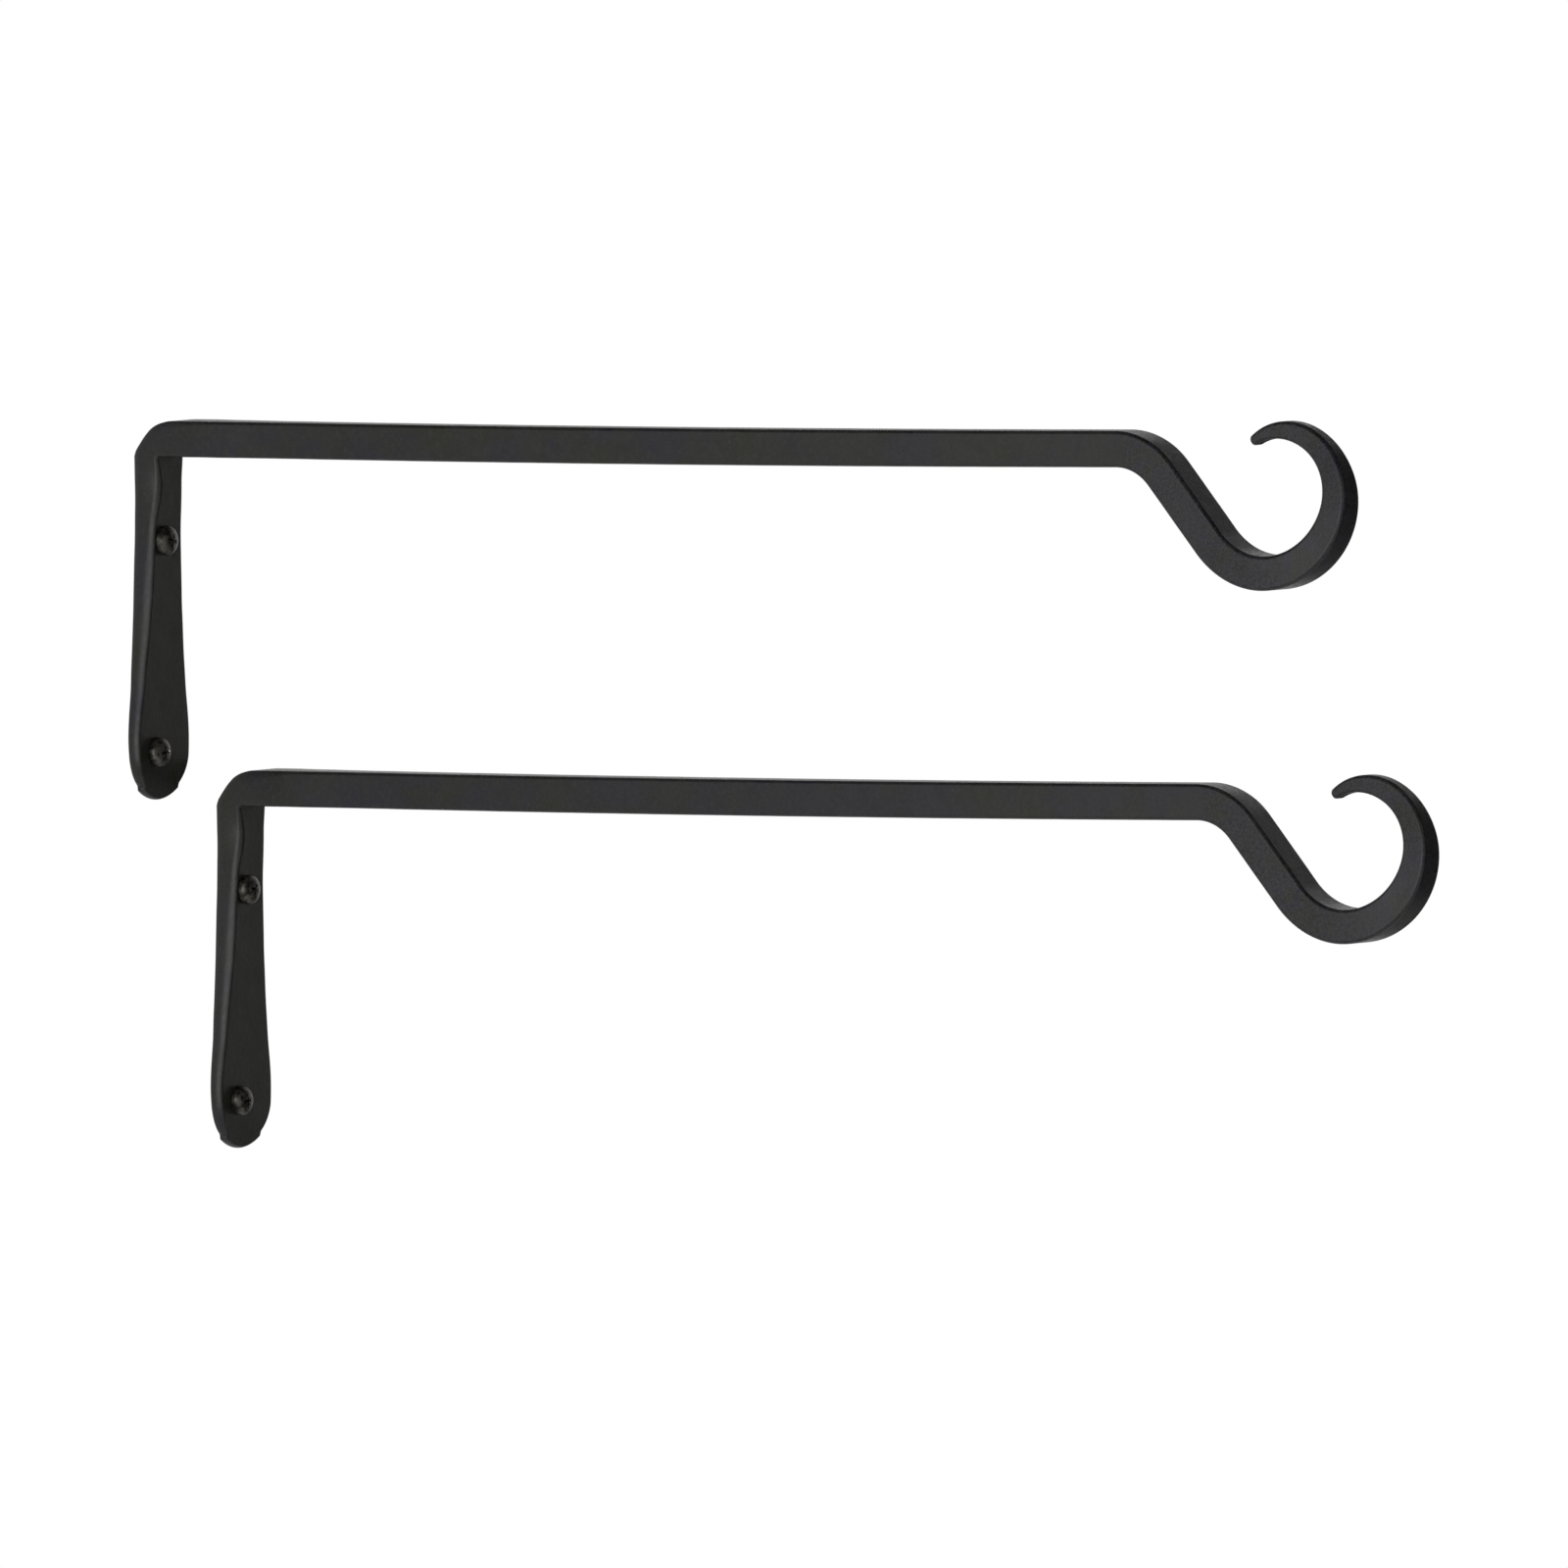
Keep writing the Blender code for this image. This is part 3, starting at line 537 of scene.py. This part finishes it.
def closed_piece(name, points, material, **marks):
    """A smooth closed mesh from a grid of rings, faces outwards, with its marks as attributes.

    The volume is a sixth of the sum of a . (b x c) + a . (c x d) over the faces a, b, c, d.
    """
    rows, ring = points.shape[:2]
    index = np.arange(rows * ring).reshape(rows, ring)
    here, ahead = index[:-1], index[1:]
    faces = np.stack([here, np.roll(here, -1, 1), np.roll(ahead, -1, 1), ahead], -1).reshape(-1, 4)
    flat = points.reshape(-1, 3)
    a, b, c, d = (flat[faces[:, k]] for k in range(4))
    volume = (np.einsum("ij,ij->", a, np.cross(b, c)) + np.einsum("ij,ij->", a, np.cross(c, d))) / 6
    faces = faces if volume > 0 else faces[:, ::-1]
    mesh = bpy.data.meshes.new(name)
    mesh.from_pydata(flat.tolist(), [], faces.tolist())
    for mark, values in marks.items():
        layer = mesh.attributes.new(mark, "FLOAT", "POINT")
        layer.data.foreach_set("value", np.ascontiguousarray(values, np.float32).reshape(-1))
    work = bmesh.new()
    work.from_mesh(mesh)
    bmesh.ops.remove_doubles(work, verts=work.verts, dist=MERGE_DISTANCE)
    work.to_mesh(mesh)
    work.free()
    mesh.shade_smooth()
    if material:
        mesh.materials.append(material)
    print(f"{name}: {len(mesh.polygons)} faces, {abs(volume) * 1e6:.2f} cm3")
    return put_in_scene(name, mesh)


print("points merge within", MERGE_DISTANCE, "m")

# %% [markdown]
# ## Shader maths as expressions
# A finish mixes a few patterns, and wiring Math nodes by hand hides the idea. A small class wraps a
# socket so that plain arithmetic adds the nodes, and one method adds any other node.


# %% A socket that takes arithmetic
class Wire:
    """One output socket. Arithmetic on it adds a Math node and gives that node's output."""

    def __init__(self, maker, socket):
        self.maker, self.socket = maker, socket

    def maths(self, operation, first, second):
        return self.maker.node("ShaderNodeMath", {0: first, 1: second}, operation=operation)

    def __add__(self, other):
        return self.maths("ADD", self, other)

    def __radd__(self, other):
        return self.maths("ADD", other, self)

    def __sub__(self, other):
        return self.maths("SUBTRACT", self, other)

    def __rsub__(self, other):
        return self.maths("SUBTRACT", other, self)

    def __mul__(self, other):
        return self.maths("MULTIPLY", self, other)

    def __rmul__(self, other):
        return self.maths("MULTIPLY", other, self)

    def above(self, low, high):
        """0 below low, 1 above high, and a smooth rise between."""
        inputs = {0: self, 1: low, 2: high}
        return self.maker.node("ShaderNodeMapRange", inputs, interpolation_type="SMOOTHSTEP")


print("a wire takes + - * and above()")


# %% Maker of node trees
class NodeMaker:
    """A node tree being made, of a material or of the world."""

    def __init__(self, tree):
        self.tree = tree

    def node(self, kind, inputs=None, output=0, **settings):
        """Adds a node with its settings and a value or a wire for each input. Gives one output."""
        made = self.tree.nodes.new(kind)
        for setting, value in settings.items():
            setattr(made, setting, value)
        for socket, value in (inputs or {}).items():
            self.feed(made.inputs[socket], value)
        return Wire(self, made.outputs[output])

    def feed(self, socket, value):
        """Links a wire to a socket, or sets a plain value on it."""
        if isinstance(value, Wire):
            self.tree.links.new(value.socket, socket)
        else:
            socket.default_value = value

    def rays(self, *kinds):
        """1 for a ray of one of these kinds, such as Is Camera Ray, and 0 for the rest."""
        wires = [self.node("ShaderNodeLightPath", output=kind) for kind in kinds]
        return sum(wires[1:], wires[0])

    def seen_directly(self):
        """1 for rays from the camera and for mirrored or refracted ones, and 0 for the rest."""
        return self.rays("Is Camera Ray", "Is Glossy Ray", "Is Transmission Ray").above(0.0, 1.0)


print("a node tree has:", [name for name in vars(NodeMaker) if name[0] != "_"])


# %% Maker of finishes
class Finish(NodeMaker):
    """A material being made, with its Principled shader."""

    def __init__(self, name):
        self.material = bpy.data.materials.new(name)
        self.material.use_nodes = True
        super().__init__(self.material.node_tree)
        self.shader = self.tree.nodes["Principled BSDF"]

    def surface(self, **values):
        """Sets or links the shader's sockets, an underscore standing for a space in their names."""
        for name, value in values.items():
            self.feed(self.shader.inputs[name.replace("_", " ")], value)

    def mixed(self, share, first, second):
        """Makes the surface a mix that goes from the first shader to the second with the share."""
        mix = self.node("ShaderNodeMixShader", {0: share, 1: first, 2: second})
        self.feed(self.tree.nodes["Material Output"].inputs["Surface"], mix)

    def noise(self, scale, detail, roughness=0.5):
        """Noise over the Object coordinates, which in these pieces are the CAD's own metres."""
        place = self.node("ShaderNodeTexCoord", output="Object")
        inputs = {"Vector": place, "Scale": scale, "Detail": detail, "Roughness": roughness}
        return self.node("ShaderNodeTexNoise", inputs)

    def mark(self, name):
        """The value of a mark that the piece carries."""
        return self.node("ShaderNodeAttribute", output="Fac", attribute_name=name)

    def layered(self, colour, layers):
        """The colour, with each layer's own colour laid over it in turn as far as its mask is 1."""
        for mask, over in layers:
            colour = self.node("ShaderNodeMix", {0: mask, 6: colour, 7: over}, 2, data_type="RGBA")
        return colour

    def bump(self, strength, distance, height):
        """A normal that is tilted by a height over the surface."""
        inputs = {"Strength": strength, "Distance": distance, "Height": height}
        return self.node("ShaderNodeBump", inputs)


print("a finish has:", [name for name in vars(Finish) if name[0] != "_"])

# %% [markdown]
# ## Black powder coat
# The bars wear a satin black powder coat over hammered iron. Close up it is never one black: it
# drifts a little between a violet and an olive black, its gloss comes and goes, and its surface has
# the fine orange peel of melted powder over the broad marks of the hammer. Along the sharp edges it
# is a little lighter and smoother in patches, and here and there a grain of dust is caught in it.
# Past the arm, where the iron was bent and drawn out, its grain shows more, with violet patches,
# and on the hook's outer face it is duller. The leg's front leans to olive. An image would repeat
# and have seams; layers of noise have neither.

# %% Colours of the coat
VIOLET_BLACK, OLIVE_BLACK = (0.0114, 0.0098, 0.0165, 1), (0.0116, 0.0119, 0.0060, 1)
VIOLET_PATCH, OLIVE_FACE = (0.0135, 0.0110, 0.0270, 1), (0.0130, 0.0135, 0.0045, 1)
CLOUDED_BLACK, DUST = (0.0165, 0.0160, 0.0160, 1), (0.060, 0.058, 0.055, 1)
FINE_GREY, SAND_GREY = (0.0215, 0.0210, 0.0205, 1), (0.0330, 0.0320, 0.0320, 1)
PIT_BLACK, EDGE_GREY = (0.0020, 0.0020, 0.0020, 1), (0.036, 0.034, 0.034, 1)
print("from", VIOLET_BLACK[:3], "to", OLIVE_BLACK[:3])


# %% The black coat
def black_coat():
    """One black under layers of noise, with more noise in its roughness and its bump."""
    coat = Finish("black_iron_coat")
    drift, patches, tint = coat.noise(60, 5, 0.65), coat.noise(160, 4, 0.6), coat.noise(210, 2)
    fine, sand = coat.noise(750, 3, 0.7), coat.noise(1500, 3, 0.75)
    drawn, worked = coat.mark("drawn"), coat.mark("worked")
    place = coat.node("ShaderNodeTexCoord", output="Object")
    cells = coat.node("ShaderNodeTexVoronoi", {"Vector": place, "Scale": 260})
    speck = (1 - cells.above(0.05, 0.12)) * coat.noise(75, 1).above(0.64, 0.70)
    # Patches along the sharp edges, where a corner turns most, are made a little lighter and
    # smoother.
    edge_patches = coat.mark("arris").above(0.55, 1.0) * patches.above(0.35, 0.65)
    black = coat.layered(VIOLET_BLACK, [
        (drift.above(0.36, 0.64), OLIVE_BLACK),
        (tint.above(0.48, 0.60) * worked * 0.8, VIOLET_PATCH),
        (drawn * 0.7 + coat.mark("leg_front") * 0.6, OLIVE_FACE),
        (patches.above(0.40, 0.70) * 0.6, CLOUDED_BLACK),
        (speck * 0.5, DUST),
        (fine.above(0.45, 0.68) * 0.6, FINE_GREY),
        (sand.above(0.50, 0.64) * worked * 0.6, SAND_GREY),
        ((1 - sand.above(0.38, 0.52)) * worked * 0.9, PIT_BLACK),
        (edge_patches * 0.45, EDGE_GREY),
    ])
    rough = 0.40 + (patches - 0.5) * 0.14 + (fine - 0.5) * 0.22 - edge_patches * 0.04 + drawn * 0.45
    rough = rough + (sand - 0.5) * worked * 0.5
    grain, peel, dips = coat.noise(2600, 3, 0.7), coat.noise(1100, 2), coat.noise(130, 2)
    bump = coat.bump(0.55, 0.00008, grain * 0.25 + peel * 0.6 + dips * 2.2)
    coat.surface(
        Base_Color=black, Roughness=rough, Metallic=0.0, Specular_IOR_Level=0.25, Normal=bump)
    return coat.material


powder_coat = black_coat()
print("finish:", powder_coat.name)

# %% [markdown]
# ## The two bars
# Both hangers are the same forging, so one grid serves twice: the lower bar is the upper one moved
# aside and down. Each bar has two holes for its screws, cut with a Boolean because a hole through a
# grid would break its rows.

# %% Cutting screw holes
HOLE_RADIUS, HOLE_COLUMNS, CUT_OVERRUN = 0.0025, 64, 0.002
BAR_SHARP_ANGLE = math.radians(50)
screw_places = [(-UPPER_SCREW_ASIDE, SCREW_SPACING / 2), (-LOWER_SCREW_ASIDE, -SCREW_SPACING / 2)]


def hole_cutter(name, aside, height, offset):
    """A cylinder along x: rings of radius 0, r, r and 0 at its two ends."""
    turn = np.linspace(0, 2 * math.pi, HOLE_COLUMNS, endpoint=False)
    far = float(leg_thickness(height)) + CUT_OVERRUN
    x = np.array([-CUT_OVERRUN, -CUT_OVERRUN, far, far])[:, None] + 0 * turn
    radius = np.array([0, HOLE_RADIUS, HOLE_RADIUS, 0])[:, None]
    points = np.stack([x, aside + radius * np.cos(turn), height + radius * np.sin(turn)], -1)
    return closed_piece(name, points + offset, None)


def cut_holes(piece, cutters):
    """Takes the cutters away from the piece and keeps the result as its mesh."""
    for cutter in cutters:
        cut = piece.modifiers.new(cutter.name, "BOOLEAN")
        cut.operation, cut.solver, cut.object = "DIFFERENCE", "EXACT", cutter
    graph = bpy.context.evaluated_depsgraph_get()
    whole = piece.data
    piece.data = bpy.data.meshes.new_from_object(piece.evaluated_get(graph))
    piece.modifiers.clear()
    piece.data.set_sharp_from_angle(angle=BAR_SHARP_ANGLE)
    piece.data.name = whole.name
    for cutter in cutters:
        bpy.data.objects.remove(cutter)


print(f"holes {1000 * SCREW_SPACING:.1f} mm apart")

# %% The upper and the lower bar
hanger_offsets = {"upper": np.zeros(3), "lower": np.array([0, PAIR_SIDE_STEP, -PAIR_DROP])}


def hanger_bar(word, offset):
    """One bar over its CAD node, with the two screw holes."""
    bar = closed_piece(f"{word}_bar", bar_points + offset, powder_coat, **bar_marks)
    cut_holes(bar, [hole_cutter(f"{word}_hole_{k}", *place, offset)
                    for k, place in enumerate(screw_places)])
    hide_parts(f"{word}_hanger_bar")
    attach(bar, "root")
    return bar


bars = [hanger_bar(word, offset) for word, offset in hanger_offsets.items()]
print("bars:", [f"{bar.name} {len(bar.data.polygons)} faces" for bar in bars])

# %% [markdown]
# ## The screws' shape
# Each leg is held by two pan-head wood screws with a cross recess. A screw is a turned shape, so a
# profile of radius against height carried round the axis gives the head and shank. Two things
# aren't turned: the recess, a depth that depends on both sides of the cross, and the thread, a
# crest that climbs one pitch a turn. On a grid both are only terms added to the profile.

# %% Sizes of a screw
HEAD_RADIUS, HEAD_HEIGHT, HEAD_RIM, RIM_EDGE = 0.00385, 0.0030, 0.0009, 0.00008
SHANK_RADIUS, CORE_RADIUS, THREAD_PITCH = 0.0021, 0.00145, 0.0018
SCREW_LENGTH, PLAIN_SHANK, POINT_LENGTH, TIP_RADIUS = 0.02997, 0.0085, 0.0055, 0.0003
RECESS_REACH, RECESS_WING, RECESS_DEPTH = 0.0018, 0.00040, 0.0011
RECESS_SIDE_SLOPE, RECESS_END_SLOPE = 6.5, 2.4
HEART_RADIUS, HEART_SLOPE = 0.00065, 3.0
CREST_START_TURNS, CREST_POWER, CREST_TOP, CREST_SPREAD = 0.75, 0.7, 1.12, 0.26


def recess_depth(y, z):
    """Depth of the cross: it grows inwards from each wing's ends and sides down to its floor."""
    def wing(along, aside):
        sides = (RECESS_WING - np.abs(aside)) * RECESS_SIDE_SLOPE
        ends = (RECESS_REACH - np.abs(along)) * RECESS_END_SLOPE
        return np.minimum(sides, ends)
    heart = (HEART_RADIUS - np.hypot(y, z)) * HEART_SLOPE
    return np.clip(np.maximum(np.maximum(wing(y, z), wing(z, y)), heart), 0, RECESS_DEPTH)


def thread_radius(depth, turn):
    """Core radius plus a crest where the depth, in pitches, matches the turn round the axis."""
    into = depth - PLAIN_SHANK
    left = np.clip((SCREW_LENGTH - depth) / POINT_LENGTH, 0, 1)
    start = np.clip(into / (THREAD_PITCH * CREST_START_TURNS), 0, 1)
    core = SHANK_RADIUS + (CORE_RADIUS - SHANK_RADIUS) * start
    core = TIP_RADIUS + (core - TIP_RADIUS) * left
    crest = TIP_RADIUS + (SHANK_RADIUS - TIP_RADIUS) * left ** CREST_POWER
    phase = np.mod(into / THREAD_PITCH - turn / (2 * math.pi), 1) - 0.5
    ridge = np.clip(CREST_TOP - np.abs(phase) / CREST_SPREAD, 0, 1)
    return np.where(into < 0, SHANK_RADIUS, core + (crest - core) * ridge)


print("depth of the recess:", recess_depth(0.0, 0.0))

# %% Rows of one screw
SCREW_COLUMNS, CROSS_ROWS, DOME_ROWS, SHANK_ROWS, THREAD_ROWS = 96, 34, 22, 10, 230
CROSS_RADIUS, NECK_STEP, NECK_LENGTH = 0.0024, 0.0001, 0.001
INSIDE_DEPTH, BITTEN_DEPTH, BITTEN_SPREAD = 0.0004, 0.00022, 0.00016
# Radii of the head's top: close together over the cross, then wider apart to the rim.
head_radius = np.concatenate([
    np.linspace(0, CROSS_RADIUS, CROSS_ROWS),
    np.linspace(CROSS_RADIUS, HEAD_RADIUS, DOME_ROWS)[1:]])
# Heights over the seat and radii of the rim and the underside, in to the shank.
rim_height = np.array([HEAD_RIM * 0.66, HEAD_RIM * 0.33, RIM_EDGE, 0, 0, 0])
rim_radius = np.array([HEAD_RADIUS, HEAD_RADIUS, HEAD_RADIUS, HEAD_RADIUS - RIM_EDGE,
                       SHANK_RADIUS + 8 * NECK_STEP, SHANK_RADIUS + NECK_STEP])
# Depths of the plain shank, then of the thread and the point.
shank_depth = np.concatenate([
    [NECK_STEP, 3 * NECK_STEP], np.linspace(NECK_LENGTH, PLAIN_SHANK - NECK_STEP, SHANK_ROWS),
    np.linspace(PLAIN_SHANK, SCREW_LENGTH, THREAD_ROWS)])
print("rows of a screw:", len(head_radius) + len(rim_radius) + len(shank_depth))


# %% Build one screw
def screw_points(seat, aside, height, turned):
    """Grid of a screw along x from its crown to its point, and its marks inside and bitten.

    The crown is rim + (head - rim) * the square root of 1 - r r / R R, less the recess.
    """
    turn = np.linspace(0, 2 * math.pi, SCREW_COLUMNS, endpoint=False)
    dome = np.sqrt(np.maximum(1 - (head_radius / HEAD_RADIUS) ** 2, 0))[:, None]
    y = head_radius[:, None] * np.cos(turn)
    z = head_radius[:, None] * np.sin(turn)
    sunk = recess_depth(y * math.cos(turned) + z * math.sin(turned),
                        z * math.cos(turned) - y * math.sin(turned))
    thread = thread_radius(shank_depth[:, None], turn)
    thread[-1] = 0
    rim = np.zeros((len(rim_radius), SCREW_COLUMNS))
    x = np.concatenate([
        seat + HEAD_RIM + (HEAD_HEIGHT - HEAD_RIM) * dome - sunk,
        seat + rim_height[:, None] + rim, seat - shank_depth[:, None] + 0 * thread])
    radius = np.concatenate([head_radius[:, None] + 0 * turn, rim_radius[:, None] + rim, thread])
    sunk = np.concatenate([sunk, rim, 0 * thread])
    points = np.stack([x, aside + radius * np.cos(turn), height + radius * np.sin(turn)], -1)
    inside = np.clip(sunk / INSIDE_DEPTH, 0, 1)
    bitten = np.exp(-((sunk - BITTEN_DEPTH) / BITTEN_SPREAD) ** 2)
    return points, inside, bitten


print("grid of a screw:", screw_points(0.0, 0.0, 0.0, 0.0)[0].shape[:2])

# %% [markdown]
# ## Dark bronze
# The screws are oil-rubbed bronze: a dark, mottled metal finish that stays blackest in the recess.
# The driver has bitten bare metal along the upper edges of the cross, in small bright flecks. The
# marks on the grid say where the recess and its edges are, so the wear follows the shape.

# %% The screws' finish
OILED_BRONZE, WORN_BRONZE = (0.014, 0.013, 0.011, 1), (0.078, 0.074, 0.064, 1)
RECESS_BLACK, BARE_METAL = (0.012, 0.010, 0.009, 1), (0.42, 0.40, 0.37, 1)


def bronze_finish():
    """A mottle in colour and roughness, darker inside the recess and bare along its edges."""
    bronze = Finish("dark_bronze_screw")
    mottle = bronze.noise(700, 3)
    bare = bronze.mark("bitten").above(0.3, 0.9) * bronze.noise(900, 1).above(0.44, 0.54)
    brown = bronze.layered(OILED_BRONZE, [
        (mottle.above(0.35, 0.65), WORN_BRONZE),
        (bronze.mark("inside") * 0.5, RECESS_BLACK),
        (bare * 0.8, BARE_METAL),
    ])
    rough = 0.42 + (mottle - 0.5) * 0.24 - bare * 0.18
    bump = bronze.bump(0.4, 0.00003, bronze.noise(3200, 2))
    bronze.surface(Base_Color=brown, Roughness=rough, Metallic=0.9, Normal=bump)
    return bronze.material


dark_bronze = bronze_finish()
print("finish:", dark_bronze.name)

# %% [markdown]
# ## Driving the screws
# A screw's head rests where the leg is thickest under it, at its upper edge, and a hair off it. The
# leg's fullness is left out of that sum, so that each screw stays where the CAD has it. No two
# screws stop with their crosses alike, so each of a hanger's pair is turned its own way.

# %% The four screws
SEAT_GAP = 0.0003
SCREW_TURNS = {"top": math.radians(-14), "bottom": math.radians(9)}
SCREW_SHARP_ANGLE = math.radians(55)


def hanger_screw(word, which, place, offset):
    """One screw over its CAD node."""
    aside, height = place
    seat = float(leg_thickness(height + HEAD_RADIUS, 0 * LEG_FULLNESS)) + SEAT_GAP
    points, inside, bitten = screw_points(seat, aside, height, SCREW_TURNS[which])
    name = f"{word}_{which}_pan_head"
    screw = closed_piece(name, points + offset, dark_bronze, inside=inside, bitten=bitten)
    screw.data.set_sharp_from_angle(angle=SCREW_SHARP_ANGLE)
    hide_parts(f"{word}_{which}_screw")
    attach(screw, "root")
    return screw


screws = [
    hanger_screw(word, which, place, offset)
    for word, offset in hanger_offsets.items()
    for which, place in zip(SCREW_TURNS, screw_places)
]
print("screws:", [screw.name for screw in screws])

# %% [markdown]
# ## Floor and wall
# The hangers are photographed against plain white. A pale floor lies well below them, out of the
# picture, and takes their shadow. The legs are meant for a wall, so a white card stands where the
# wall would be and hides the ends of the screws, as a wall does. It is white from the front and
# clear from behind, so that the backs of the legs can still be looked at.


# %% The floor and the wall
def stage_card(name, a, b, c, material):
    """A flat card that isn't part of the object. Its corners are a, b, c and a + c - b."""
    d = [p + r - q for p, q, r in zip(a, b, c)]
    mesh = bpy.data.meshes.new(name)
    mesh.from_pydata([a, b, c, d], [], [(0, 1, 2, 3)])
    mesh.materials.append(material)
    card = put_in_scene(name, mesh)
    return card


def floor_finish():
    """Pale matt floor, lifted towards white where it is seen, with the object's shadow kept."""
    pale = Finish("pale_floor")
    pale.surface(Base_Color=(0.8, 0.8, 0.79, 1), Roughness=0.9)
    lift = pale.seen_directly() * 0.9 - pale.rays("Is Camera Ray") * 0.35
    pale.mixed(lift, Wire(pale, pale.shader.outputs[0]), pale.node("ShaderNodeEmission"))
    return pale.material


def wall_finish():
    """White from the front to the camera; clear from behind and to every other ray."""
    wall = Finish("white_wall_card")
    behind = wall.node("ShaderNodeNewGeometry", output="Backfacing")
    shown = wall.rays("Is Camera Ray") * (1 - behind)
    wall.mixed(shown, wall.node("ShaderNodeBsdfTransparent"), wall.node("ShaderNodeEmission"))
    return wall.material


floor = stage_card("pale_floor", (-4, -4, -0.6), (4, -4, -0.6), (4, 4, -0.6), floor_finish())
wall = stage_card(
    "white_wall", (-0.0002, -2.5, -0.6), (-0.0002, 2.5, -0.6), (-0.0002, 2.5, 1.0), wall_finish())
wall.visible_shadow = wall.visible_diffuse = wall.visible_glossy = wall.visible_transmission = False
print("stage:", floor.name, wall.name)

# %% [markdown]
# ## Light
# One soft lamp stands before the legs. It falls on the faces that are turned to the camera, and its
# mirror image is the long highlight on the leg's rolled edge. Satin black shows what it mirrors
# more than what lights it, and more light wouldn't darken a face that mirrors the white room. So
# dark cards that the camera doesn't see stand where such faces look: one at the right for the faces
# that look along the arms, one above for the upper edges, and two smaller ones for the back and the
# underside of the hook's curl. The world is white to the eye and to reflections, and a grey light.

# %% The world
ROOM_LIGHT = 0.6
world = bpy.data.worlds.new("white_room")
world.use_nodes = True
bpy.context.scene.world = world
room = NodeMaker(world.node_tree)
background = room.tree.nodes["Background"].inputs
room.feed(background["Color"], (1, 1, 1, 1))
# Strength 1 for rays that show the background, and a grey light for the rest.
room.feed(background["Strength"], ROOM_LIGHT + room.seen_directly() * (1 - ROOM_LIGHT))
print("world:", world.name)


# %% The lamp
def soft_lamp(name, place, aim, size, power):
    """A square lamp that faces its aim and isn't seen by the camera."""
    data = bpy.data.lights.new(name, "AREA")
    data.size, data.energy = size, power
    lamp = put_in_scene(name, data)
    lamp.location = place
    away = np.array(place) - np.array(aim)
    level = math.hypot(away[0], away[1])
    lamp.rotation_euler = (math.atan2(level, away[2]), 0, math.atan2(away[0], -away[1]))
    lamp.visible_camera = False
    return lamp


key = soft_lamp("key_lamp", place=(0.12, -1.0, -0.08), aim=(0.16, 0.0, -0.03), size=0.5, power=4.4)
print("lamp power", key.data.energy, "W")

# %% The dark cards
DARK_CARDS = {
    "dark_card_right": [(1.2, -0.12, -0.5), (0.41, 0.72, -0.5), (0.41, 0.72, 0.7)],
    "dark_card_above": [(-0.9, -1.3, 0.55), (1.3, -1.3, 0.55), (1.3, 0.62, 0.55)],
    "dark_card_back": [(0.04, 0.62, 0.55), (0.24, 0.62, 0.55), (0.24, 1.05, 0.55)],
    "dark_card_low": [(-0.1, 0.50, -0.45), (0.8, 0.50, -0.45), (0.8, 1.3, -0.45)],
}
dark = Finish("dark_card")
dark.surface(Base_Color=(0.26, 0.26, 0.26, 1), Roughness=0.9, Specular_IOR_Level=0.0)
for name, corners in DARK_CARDS.items():
    stage_card(name, *corners, dark.material).visible_camera = False
print("cards:", ", ".join(DARK_CARDS))

# %% [markdown]
# ## Camera
# Both hangers in the photograph are alike to the pixel, which only a very long lens from far away
# could give. The camera therefore stands 16 m away with a lens of over a metre, turned to the
# photograph's angle, a little above the arms, with the small tilt that the photograph has.

# %% Place the camera
AZIMUTH, ELEVATION, TILT = math.radians(34.923), math.radians(2.808), math.radians(-1.109)
CAMERA_DISTANCE, LENS, SENSOR = 16.0, 1415.0, 36.0
CLIP_START, CLIP_END = 0.1, 60.0
AIM = np.array([0.18838, 0.018, ARM_TOP - 0.093921])


def place_camera():
    """Columns of the turn are the camera's right, up and back; the tilt turns it about its back."""
    back = np.array([math.sin(AZIMUTH) * math.cos(ELEVATION),
                     -math.cos(AZIMUTH) * math.cos(ELEVATION), math.sin(ELEVATION)])
    right = np.array([math.cos(AZIMUTH), math.sin(AZIMUTH), 0])
    turn = Matrix(np.stack([right, np.cross(back, right), back], 1)).to_4x4()
    data = bpy.data.cameras.new("photo_camera")
    data.lens, data.sensor_width = LENS, SENSOR
    data.clip_start, data.clip_end = CLIP_START, CLIP_END
    camera = put_in_scene("photo_camera", data)
    stand = Matrix.Translation(AIM + back * CAMERA_DISTANCE)
    camera.matrix_world = stand @ turn @ Matrix.Rotation(TILT, 4, "Z")
    return camera


bpy.context.scene.camera = place_camera()
bpy.context.scene.view_settings.view_transform = "Standard"
print("camera at", [round(c, 2) for c in bpy.context.scene.camera.location])
